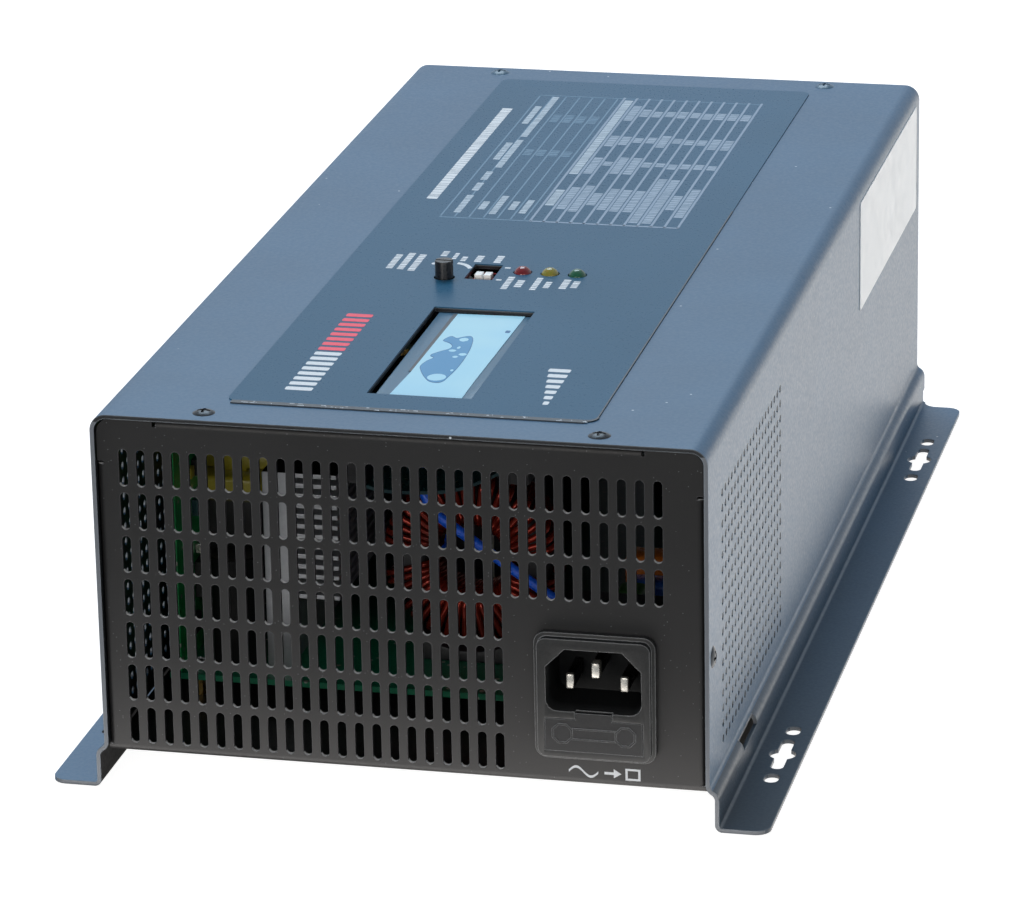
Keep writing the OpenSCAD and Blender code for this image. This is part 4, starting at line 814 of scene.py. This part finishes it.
def ringTerminal(centre, radius, hole, thick, axis, count=32):
    form = bmesh.new()
    x, y, z = centre
    rings = []
    for r, d in ((radius, 0), (radius, thick), (hole, thick), (hole, 0)):
        ring = []
        for u, v in ovalOutline(0, 0, r, r, count):
            place = at(x + u, y + d, z + v) if axis == "Y" else at(x + u, y + v, z + d)
            ring.append(form.verts.new(place))
        rings.append(ring)
    joinRings(form, rings)
    return form


def pathSource(points):
    mesh = bpy.data.meshes.new("path")
    mesh.from_pydata([at(*p) for p in points], [(i, i + 1) for i in range(len(points) - 1)], [])
    return newPiece("path", mesh)


def makeLead(name, values, fit):
    sizes = {"Diameter": values["diameter"] / 1000, "Bend": values["diameter"] * fit["bend"] / 1000,
        "Sides": fit["sides"], "Insulation": materials[values["slot"]]}
    form = bmesh.new()
    form.from_mesh(growMesh(pathSource(values["wire"]), sweptLead, sizes))
    if values["sleeve"]:
        (x, z), (wide, high), (front, back) = values["sleeve"], fit["sleeveHalf"], fit["sleeveEnds"]
        ends = ((x - wide, front, z - high), (x + wide, back, z + high))
        addForm(form, roundedBox(*ends, fit["sleeveRadius"]))
    if name == "earth_lead":
        addForm(form, ringTerminal(**fit["earthRing"]))
    if name.startswith("output"):      # a ring on its stud, with the tongue and the crimp below it
        x = values["wire"][0][0]
        addForm(form, ringTerminal((x, *fit["stud"]), **fit["studRing"]))
        for (left, front, low), (right, back, high), radius in fit["studEnds"]:
            addForm(form, roundedBox((x + left, front, low), (x + right, back, high), radius))
    addPiece(name + "_swept", form, values["slot"], (name,) if name in nodes else (), None, 40)


for leadName, values in leadValues.items():
    makeLead(leadName, values, fitValues)

# a ribbon cable hanging between the display board and the control board, with its two plugs
ribbonValues = {
    "front": 30, "back": 48, "thick": 0.9,
    "way": [(-15.8, 76.4), (-12.5, 75.5), (-8, 75.3), (-3, 75.4), (2, 75.7), (6.5, 76.4), (11, 77.8),
        (15.5, 79.9), (19, 81.8), (21.6, 83)],
    "plugs": (((-20.6, 29.5, 76.8), (-15.6, 48.5, 92.3)), ((21.4, 29.5, 79), (27.4, 48.5, 88.4))),
    "leadPlug": ((-2, 79, 18.6), (10, 85, 27.6)),
}


def makeRibbon(values):
    below = [(x, z - values["thick"]) for x, z in reversed(values["way"])]
    outline = values["way"] + below
    form = bmesh.new()
    addPrism(form, *[[at(x, y, z) for x, z in outline] for y in (values["front"], values["back"])])
    addPiece("display_ribbon", form, "white_wire", ("display_lead",), materials["ribbon_cable"])
    form = bmesh.new()
    for low, high in values["plugs"]:
        addForm(form, roundedBox(low, high, 0.4))
    addPiece("ribbon_plugs", form, "dark_plastic")
    plug = roundedBox(*values["leadPlug"], 0.5)
    slot = slotOfNode["lead_connector"]
    addPiece("lead_plug", plug, slot, ("lead_connector",), materials["dark_plastic"])


makeRibbon(ribbonValues)
print("stage: leads")

# upright regulator card with small parts on the side that faces the slots
cardValues = {
    "low": (-70.6, 36.0, 18.7), "high": (-69.0, 62, 82.0),
    "parts": (
        ("blackened_brass", (-69.0, 51.5, 68.0), (-66.0, 56.5, 72.4)),
        ("yellow_tape", (-69.0, 47.0, 68.5), (-67.6, 50.2, 71.5)),
        ("ribbon_cable", (-69.0, 50.6, 57.0), (-67.2, 57.4, 61.5)),
        ("white_wire", (-69.0, 50.6, 62.4), (-67.8, 57.2, 63.4)),
        ("nickel", (-69.0, 52.2, 45.8), (-67.3, 54.6, 48.6)),
        ("blackened_brass", (-69.0, 50.8, 34.0), (-65.8, 57.0, 44.0)),
        ("nickel", (-69.0, 52.0, 37.2), (-65.4, 53.2, 38.4)),
        ("nickel", (-69.0, 54.6, 40.0), (-65.4, 55.6, 41.0)),
        ("black_epoxy", (-69.0, 44.5, 26.0), (-67.0, 49.5, 31.0))),
}


def makeCard(values):
    board = roundedBox(values["low"], values["high"], 0.15, 2)
    slot = slotOfNode["regulator_board"]
    addPiece("regulator_card", board, slot, ("regulator_board",), materials["lit_copy_board"])
    for order, (finish, low, high) in enumerate(values["parts"]):
        part = roundedBox(low, high, 0.25, 2)
        addPiece("card_part_%d" % order, part, "dark_plastic", (), materials[finish])


makeCard(cardValues)

# wound chokes: one turn of wire repeated round the ring
def windingTree():
    tree, given = startTree("wound ring", [("Mean radius", "Float", 0.01575), ("Turns", "Int", 30),
        ("Start", "Float", 0.0), ("Sweep", "Float", 6.2), ("Turn width", "Float", 0.011),
        ("Turn height", "Float", 0.016), ("Wire", "Float", 0.0016), ("Slant", "Float", 0.12),
        ("Copper", "Material", None)])
    sweep = {"Radius": given["Mean radius"], "Start Angle": given["Start"], "Sweep Angle": given["Sweep"]}
    arc = addNode(tree, "GeometryNodeCurveArc", {"Resolution": 96, **sweep}, mode="RADIUS")
    spaced = addNode(tree, "GeometryNodeResampleCurve", {"Curve": arc, "Count": given["Turns"]})
    outward = addNode(tree, "GeometryNodeInputPosition")
    along = addNode(tree, "GeometryNodeInputTangent")
    first = addNode(tree, "FunctionNodeAlignEulerToVector", {"Vector": along}, axis="Z")
    second = addNode(tree, "FunctionNodeAlignEulerToVector", {"Rotation": first, "Vector": outward},
        axis="X", pivot_axis="Z")
    lean = addNode(tree, "ShaderNodeCombineXYZ", (given["Slant"],))
    leaned = addNode(tree, "FunctionNodeRotateEuler", {"Rotation": second, "Rotate By": lean},
        space="LOCAL")
    sides = {"Width": given["Turn width"], "Height": given["Turn height"]}
    turn = addNode(tree, "GeometryNodeCurvePrimitiveQuadrilateral", sides)
    corner = addNode(tree, "ShaderNodeMath", (given["Wire"], 1.6), operation="MULTIPLY")
    bend = {"Curve": turn, "Radius": corner, "Count": 4, "Limit Radius": True}
    eased = addNode(tree, "GeometryNodeFilletCurve", bend, mode="POLY")
    half = addNode(tree, "ShaderNodeMath", (given["Wire"], 0.5), operation="MULTIPLY")
    ring = addNode(tree, "GeometryNodeCurvePrimitiveCircle", {"Resolution": 8, "Radius": half})
    loop = addNode(tree, "GeometryNodeCurveToMesh", {"Curve": eased, "Profile Curve": ring})
    placed = addNode(tree, "GeometryNodeInstanceOnPoints",
        {"Points": spaced, "Instance": loop, "Rotation": leaned})
    real = addNode(tree, "GeometryNodeRealizeInstances", (placed,))
    return endTree(tree, real, given["Copper"])


woundRing = windingTree()

chokeValues = {
    "centre": (4, 66, 46), "starts": (0.25, 3.39),
    "turns": {"Mean radius": 0.01675, "Turns": 24, "Sweep": 2.75, "Turn width": 0.0127, "Turn height": 0.0158,
        "Wire": 0.0018, "Slant": 0.16},
}
smallChokeValues = {
    "centre": (37, 60, 26.8), "starts": (0.3,), "outer": 7.3, "inner": 4.1, "thick": 5.8, "radius": 0.6,
    "turns": {"Mean radius": 0.0057, "Turns": 22, "Sweep": 5.7, "Turn width": 0.0040, "Turn height": 0.0069,
        "Wire": 0.0010, "Slant": 0.12},
}


def woundChoke(name, values, replaced):
    form = bmesh.new()
    upright = Matrix.Translation(at(*values["centre"])) @ Matrix.Rotation(math.radians(90), 4, "X")
    for start in values["starts"]:
        source = newPiece("source", bpy.data.meshes.new("source"))
        sizes = dict(values["turns"], Start=start, Copper=materials["enamelled_copper"])
        mesh = growMesh(source, woundRing, sizes)
        mesh.transform(upright)
        form.from_mesh(mesh)
    addPiece(name, form, "enamelled_copper", replaced, None, 70)


def ringCore(values, count=48):
    form = bmesh.new()
    half = values["thick"] / 2
    profile = barOutline(values["inner"], -half, values["outer"], half, values["radius"], 3)
    x, y, z = values["centre"]
    rings = []
    for u, v in ovalOutline(0, 0, 1, 1, count):
        rings.append([form.verts.new(at(x + r * u, y + d, z + r * v)) for r, d in profile])
    joinRings(form, rings)
    return form


woundChoke("choke_turns", chokeValues, ("choke_winding",))
woundChoke("small_choke_turns", smallChokeValues, ("small_choke",))
addPiece("small_choke_core", ringCore(smallChokeValues), "ferrite", (), None, 40)
print("stage: chokes")

# rolled thread on the output studs, with a chamfered end
studValues = {
    "xs": (36, 60), "z": 56, "from": 316.8, "to": 355.9, "radius": 3.0, "inner": 2.9, "change": 350.2,
    "pitch": 1.0, "depth": 0.32, "chamfer": 0.55, "sides": 32, "rowsPerPitch": 8,
}


def threadedStud(form, x, values):
    step = values["pitch"] / values["rowsPerPitch"]
    rows = int(round((values["to"] - values["from"]) / step))
    rings = []
    for k in range(rows + 1):
        along = min(values["from"] + k * step, values["to"])
        crest = values["radius"] if along > values["change"] else values["inner"]
        ends = min(along - values["from"], values["to"] - along)
        ring = []
        for i, (u, v) in enumerate(ovalOutline(0, 0, 1, 1, values["sides"])):
            turn = (along / values["pitch"] - i / values["sides"]) % 1.0
            cut = values["depth"] * abs(2 * turn - 1) ** 1.4
            r = crest - cut - max(0.0, values["chamfer"] - ends)
            ring.append(form.verts.new(at(x + r * u, along, values["z"] + r * v)))
        rings.append(ring)
    joinRings(form, rings, False)
    form.faces.new(rings[0])
    form.faces.new(rings[-1])


studForm = bmesh.new()
for studX in studValues["xs"]:
    threadedStud(studForm, studX, studValues)
addPiece("threaded_studs", studForm, "brass", ("output_studs",), None, 60)
print("stage: studs")

# screen printed marks on the film: bars, ticks and fields in place of lettering
inks = {
    "white": inkMaterial("white screen ink", "#E9ECF0", "#DDE2E8"),
    "red": inkMaterial("red screen ink", "#FF2C55", "#F5234B"),
    "bright": inkMaterial("bright pale screen ink", "#B4C3D0", "#A9BAC9"),
    "pale": inkMaterial("thin pale screen ink", "#92A6BB", "#879CB1"),
    "rule": inkMaterial("thin ruled screen ink", "#8096AE", "#7990A8"),
    "soft": inkMaterial("faint ruled screen ink", "#4A7896", "#457290"),
    # the last two are painted shadow and painted glints, not print
    "shade": inkMaterial("painted shade along a cut edge", "#15202B", "#1C2833"),
    "glint": inkMaterial("painted glints on the film's cut edge", "#C3CAD1", "#AEB6BE"),
}


def addMark(form, outline, low, high):    # outline in millimetres, anticlockwise seen from above
    addPrism(form, *[[at(x, y, z) for x, y in outline] for z in (low, high)])


def printPiece(name, outlines, ink, low=102.29, high=102.33):   # the film's face is at 102.3
    form = bmesh.new()
    for outline in outlines:
        addMark(form, outline, low, high)
    addPiece(name, form, "printed_film", (), inks[ink])


def dashes(x0, x1, y0, y1, luck, longest, gap):   # a row of short blocks along the film
    marks = []
    y = y0
    while y < y1 - 0.5:
        end = min(y + luck.uniform(0.6, longest), y1)
        marks.append(barOutline(x0, y, x1, end, 0.12))
        y = end + gap
    return marks


controlValues = {
    "gauge": {"x": (-35.6, -28.4), "first": 26.4, "step": 4.1, "bar": 2.5, "count": 16},
    "rising": {"x": 33.4, "shortest": 1.5, "growth": 0.72, "first": 26.0, "step": 4.3, "bar": 2.5,
        "count": 7},
    "rows": (                          # short blocks beside the knob, the lamps and the switch
        (-35.7, -33.8, 131.4, 144.6), (-32.5, -30.6, 131, 146), (-29.3, -27.3, 130.2, 145.6),
        (-23.5, -21.7, 144.7, 150), (-19.8, -18.6, 142.5, 148), (-17.1, -15.6, 141, 145.5),
        (-13.2, -11.2, 141, 147.4), (-7.7, -5.7, 141, 147.4), (-0.5, 1.3, 118.3, 130),
        (2.7, 4.7, 120.6, 127), (7.4, 9.1, 118.7, 129.6), (10.6, 12.3, 121, 126.5),
        (15, 17, 121, 130), (17.9, 19.8, 122.3, 128.6)),
    "ticks": ((-3.4, 136.5, -1.8, 137.5), (-3.4, 125.5, -1.8, 126.5)),
    "dot": (-23.5, 137.6, 0.7, 0.9),
    "arc": ((-17.8, 131.2, 6.4, 8.6), (-17.8, 131.2, 5.2, 7.0)),
}


def controlPrint(values, luck):
    scale = values["gauge"]
    fronts = [scale["first"] + scale["step"] * i for i in range(scale["count"])]
    gauge = [barOutline(scale["x"][0], y, scale["x"][1], y + scale["bar"], 0.5) for y in fronts]
    printPiece("gauge_white", gauge[:8], "white")
    printPiece("gauge_red", gauge[8:], "red")
    rise = values["rising"]
    bars = []
    for i in range(rise["count"]):
        y = rise["first"] + rise["step"] * i
        left = rise["x"] - rise["shortest"] - rise["growth"] * i
        bars.append(barOutline(left, y, rise["x"], y + rise["bar"], 0.4))
    printPiece("rising_bars", bars, "white")
    marks = []
    for span in values["rows"]:
        marks += dashes(*span, luck, 1.6, 0.4)
    marks += [barOutline(*tick, 0.2) for tick in values["ticks"]]
    outer, inner = values["arc"]
    arc = arcOutline(*outer, range(28, 92, 8)) + arcOutline(*inner, range(84, 20, -8))
    printPiece("control_marks", marks + [ovalOutline(*values["dot"], 16), arc], "white")


luck = random.Random(7)
controlPrint(controlValues, luck)

# the printed table: ruled columns with short blocks where its figures stand
tableValues = {
    "ends": (181, 312), "lines": (35.9, -3.845, 12), "ruleHalf": 0.36, "softHalf": 0.25,
    "softLines": (-32.5, -28.4, -24.3, -20.1, -16.1, -12.2, -8.3),
    "columns": {
        -4.5: (197, 213, 229, 309), -0.6: (194, 216, 230, 247, 259, 271, 287, 304),
        3.2: (192, 218, 239, 243, 261, 270, 292, 300),
        7.0: (199, 211, 231, 248, 264, 269, 292, 298), 10.9: (195, 216, 231, 248, 264, 270, 293, 299),
        14.7: (194, 216, 239, 244, 260, 273, 292, 299),
        18.6: (194, 215, 240, 244, 265, 270, 293, 299), 22.4: (184, 228, 238, 243, 264, 269, 292, 299),
        26.2: (184, 228, 239, 244, 264, 270, 292, 299),
        30.1: (198, 212, 239, 244, 260, 271, 292, 299), 34.0: (191, 219, 239, 244, 260, 271, 292, 299)},
    "fieldHalf": 1.3, "markHalf": 1.0, "brightBelow": -4,
    "headRule": (-6.5, 180.6, 36.2, 181.6),
    "softFrames": ((-32.7, 180.7, -6.6, 181.4), (-32.7, 310.5, 36.1, 311.1)),
    "bandBlocks": {"from": 0.4, "to": 2.9, "step": 3.9, "count": 4},
    "marks": ((-28.8, 186, 204), (-28.8, 208, 216), (-28.8, 219, 228), (-30, 240, 258), (-27.5, 232, 262),
        (-27.4, 265, 280), (-30.3, 279, 299), (-27.3, 280, 310),
        (-22.7, 190, 198), (-18.6, 186, 204), (-14.2, 191, 199), (-10.4, 188, 201)),
    "softBands": ((-24, -9.2, 282, 290), (-24, -9.2, 246, 252)),
    "title": (-40.6, -37.5, 198, 295),
}


def tablePrint(values, luck):
    first, step, count = values["lines"]
    low, high = values["ends"]
    wide, thin = values["ruleHalf"], values["softHalf"]
    columns = [first + step * k for k in range(count)]
    rules = [barOutline(x - wide, low, x + wide, high, 0.1) for x in columns]
    rules.append(barOutline(*values["headRule"], 0.1))
    soft = [barOutline(x - thin, low + 1, x + thin, high - 2, 0.1) for x in values["softLines"]]
    soft += [barOutline(*line, 0.1) for line in values["softFrames"]]
    fields, bright = [], []
    block = values["bandBlocks"]
    for x0, x1, y0, y1 in values["softBands"]:
        for k in range(block["count"]):
            x = x0 + block["step"] * k
            soft += dashes(x + block["from"], x + block["to"], y0, y1, luck, 1.5, 0.5)
    for x, spans in values["columns"].items():
        half = values["fieldHalf"]
        for y0, y1 in zip(spans[::2], spans[1::2]):
            into = bright if x < values["brightBelow"] else fields
            into += dashes(x - half, x + half, y0, y1, luck, 2.0, 0.3)
    for x, y0, y1 in values["marks"]:
        half = values["markHalf"]
        bright += dashes(x - half, x + half, y0, y1, luck, 1.9, 0.3)
    printPiece("table_rules", rules, "rule")
    printPiece("table_soft_rules", soft, "soft", high=102.32)
    printPiece("table_fields", fields, "pale", high=102.325)
    printPiece("table_bright_fields", bright, "bright", high=102.325)
    printPiece("title_field", dashes(*values["title"], luck, 2.4, 0.35), "white")


tablePrint(tableValues, luck)

# the film's cut front edge: a line of painted shadow with painted glints along it, thinner down the right
# side
edgeValues = {
    "front": (-46.5, 14.2, 46.4, 16.3), "side": (47.75, 18.8, 48.1, 200), "corner": (45.2, 18.8, 3.0),
    "glints": 46, "glintWidths": (0.35, 0.5, 0.8, 1.4),
}


def filmEdge(values, luck):
    x0, y0, x1, y1 = values["front"]
    x, y, r = values["corner"]
    turn = arcOutline(x, y, r + 0.1, r + 0.7, range(-90, 1, 10))
    back = arcOutline(x, y, r - 0.5, r - 0.5, range(0, -91, -10))
    shade = [barOutline(x0, y0, x + 0.1, y1, 0.3), turn + back, barOutline(*values["side"], 0.1)]
    printPiece("film_edge_shade", shade, "shade", 102.0, 102.335)
    glints = []
    for k in range(values["glints"]):
        x = luck.uniform(x0 + 0.5, x1 - 0.6)
        wide = luck.choice(values["glintWidths"])
        y = luck.uniform(y0 + 0.1, y1 - 0.5)
        slope = luck.uniform(-0.2, 0.2)
        glints.append([(x, y), (x + wide, y + slope), (x + wide * 0.8, y + 0.42), (x + 0.1, y + 0.36)])
    printPiece("film_edge_glints", glints, "glint", 102.3, 102.35)


filmEdge(edgeValues, luck)
print("stage: print on the film")

# under the inlet: a wave running into a box, in place of lettering
signValues = {
    "back": 1.12, "front": 1.06,
    "wave": {"from": (43.0, 13.55), "length": 7.6, "rise": 1.25, "half": 0.34, "count": 40},
    "arrow": [(52.2, 13.2), (54.6, 13.2), (54.6, 12.3), (56.6, 13.55), (54.6, 14.8), (54.6, 13.9),
        (52.2, 13.9)],
    "box": ((57.6, 11.95, 58.2, 15.15), (60.9, 11.95, 61.5, 15.15), (58.2, 11.95, 60.9, 12.5),
        (58.2, 14.6, 60.9, 15.15)),
}


def wavePrint(values):
    wave = values["wave"]
    line = []
    for i in range(wave["count"] + 1):
        u = i / wave["count"]
        x = wave["from"][0] + wave["length"] * u
        line.append((x, wave["from"][1] + wave["rise"] * math.sin(2 * math.pi * u)))
    shapes = [[(x, z + wave["half"]) for x, z in line] + [(x, z - wave["half"]) for x, z in reversed(line)]]
    shapes.append(values["arrow"])
    for x0, z0, x1, z1 in values["box"]:
        shapes.append([(x0, z0), (x1, z0), (x1, z1), (x0, z1)])
    form = bmesh.new()
    for outline in shapes:
        addPrism(form, *[[at(x, y, z) for x, z in outline] for y in (values["back"], values["front"])])
    addPiece("inlet_sign", form, "black_steel", (), inks["white"])


wavePrint(signValues)

# the protective sheet still on the display, with an air bubble under it
sheetValues = {
    "low": 101.0, "high": 101.15,
    "corners": [(-9.0, 29.9), (9.94, 29.4), (10.0, 44.9), (10.9, 99.2), (-7.35, 98.4), (-7.95, 49.3)],
    "tab": (8.6, 84.6, 9.9, 86.6),
    "shadow": [(-8.75, 49.6), (-7.95, 49.3), (-7.35, 98.4), (-8.5, 98.4)],
    "rim": (0.16, 0.42),               # how far the bubble's edge reaches inwards, across and along
}
bubbleValues = {
    "outline": [(-6.71, 53.7), (-5.4, 49.5), (-3.54, 45.4), (-1.5, 42.2), (0.63, 41.4), (2.1, 42.7),
        (2.61, 46.4), (3.08, 51.4), (3.3, 57.6), (3.17, 65.2), (2.72, 71.4), (1.93, 76.9), (1.0, 79.8),
        (-0.17, 80.3), (-1.63, 79.2), (-2.77, 78.2), (-4.39, 79.5), (-5.31, 78.4), (-5.91, 75.5),
        (-4.25, 74.1), (-2.92, 72.5), (-2.35, 70.5), (-2.87, 68.7), (-4.21, 67.1), (-5.24, 65.5),
        (-6.16, 63.9), (-6.04, 62.3), (-5.02, 61.2), (-5.73, 59.4), (-6.32, 57.4)],
    "windows": [(-0.32, 45.7, 2.45, 2.75), (-1.42, 67.6, 1.0, 0.95), (0.46, 62.7, 0.73, 0.83),
        (1.95, 65.0, 1.07, 1.05), (-0.35, 70.3, 0.44, 1.05), (-0.58, 77.0, 1.2, 1.5),
        (2.25, 51.8, 0.4, 0.82)],
}


def roundedLoop(points, steps=4):          # a smooth closed line through the points
    loop = []
    count = len(points)
    for i in range(count):
        a, b, c, d = (Vector(points[(i + k) % count]) for k in (-1, 0, 1, 2))
        for step in range(steps):
            t = step / steps
            square = (2 * a - 5 * b + 4 * c - d) * t * t
            cube = (3 * b - a - 3 * c + d) * t ** 3
            loop.append(tuple(0.5 * ((2 * b) + (c - a) * t + square + cube)))
    return loop


def sheetPiece(name, outlines, low, high, slot, replaced, material):
    form = bmesh.new()
    for outline in outlines:
        addMark(form, outline, low, high)
    addPiece(name, form, slot, replaced, material)


def displaySheet(sheet, bubble):
    clear = materials["protective_film"]
    wet = sheetMaterial("sheet lying on the glass", "#539FD0", "#4C98CA", 0.16)
    rim = sheetMaterial("edge of the air bubble", "#3F7CAC", "#3A76A6", 0.16)
    outline = roundedLoop(bubble["outline"])
    inner = []
    for i, (x, y) in enumerate(outline):
        along = Vector(outline[(i + 1) % len(outline)]) - Vector(outline[i - 1])
        inward = Vector((-along.y, along.x)).normalized()
        inner.append((x + inward.x * sheet["rim"][0], y + inward.y * sheet["rim"][1]))
    windows = [ovalOutline(*window, 24) for window in bubble["windows"]]
    low, high = sheet["low"], sheet["high"]
    slot = "protective_film"
    sheetPiece("display_sheet", [sheet["corners"]], low, high, slot, ("lcd_film",), clear)
    sheetPiece("bubble_edge", [outline], high - 0.01, high + 0.03, slot, (), rim)
    sheetPiece("bubble_field", [inner], high + 0.02, high + 0.05, slot, (), wet)
    sheetPiece("bubble_windows", windows, high + 0.04, high + 0.07, slot, (), clear)
    sheetPiece("sheet_tab", [barOutline(*sheet["tab"], 0.3)], high, high + 0.03, slot, (), rim)
    sheetPiece("sheet_shadow", [sheet["shadow"]], low, high - 0.02, "dark_plastic", (), inks["shade"])


displaySheet(sheetValues, bubbleValues)
print("stage: display sheet")

bpy.context.view_layer.update()
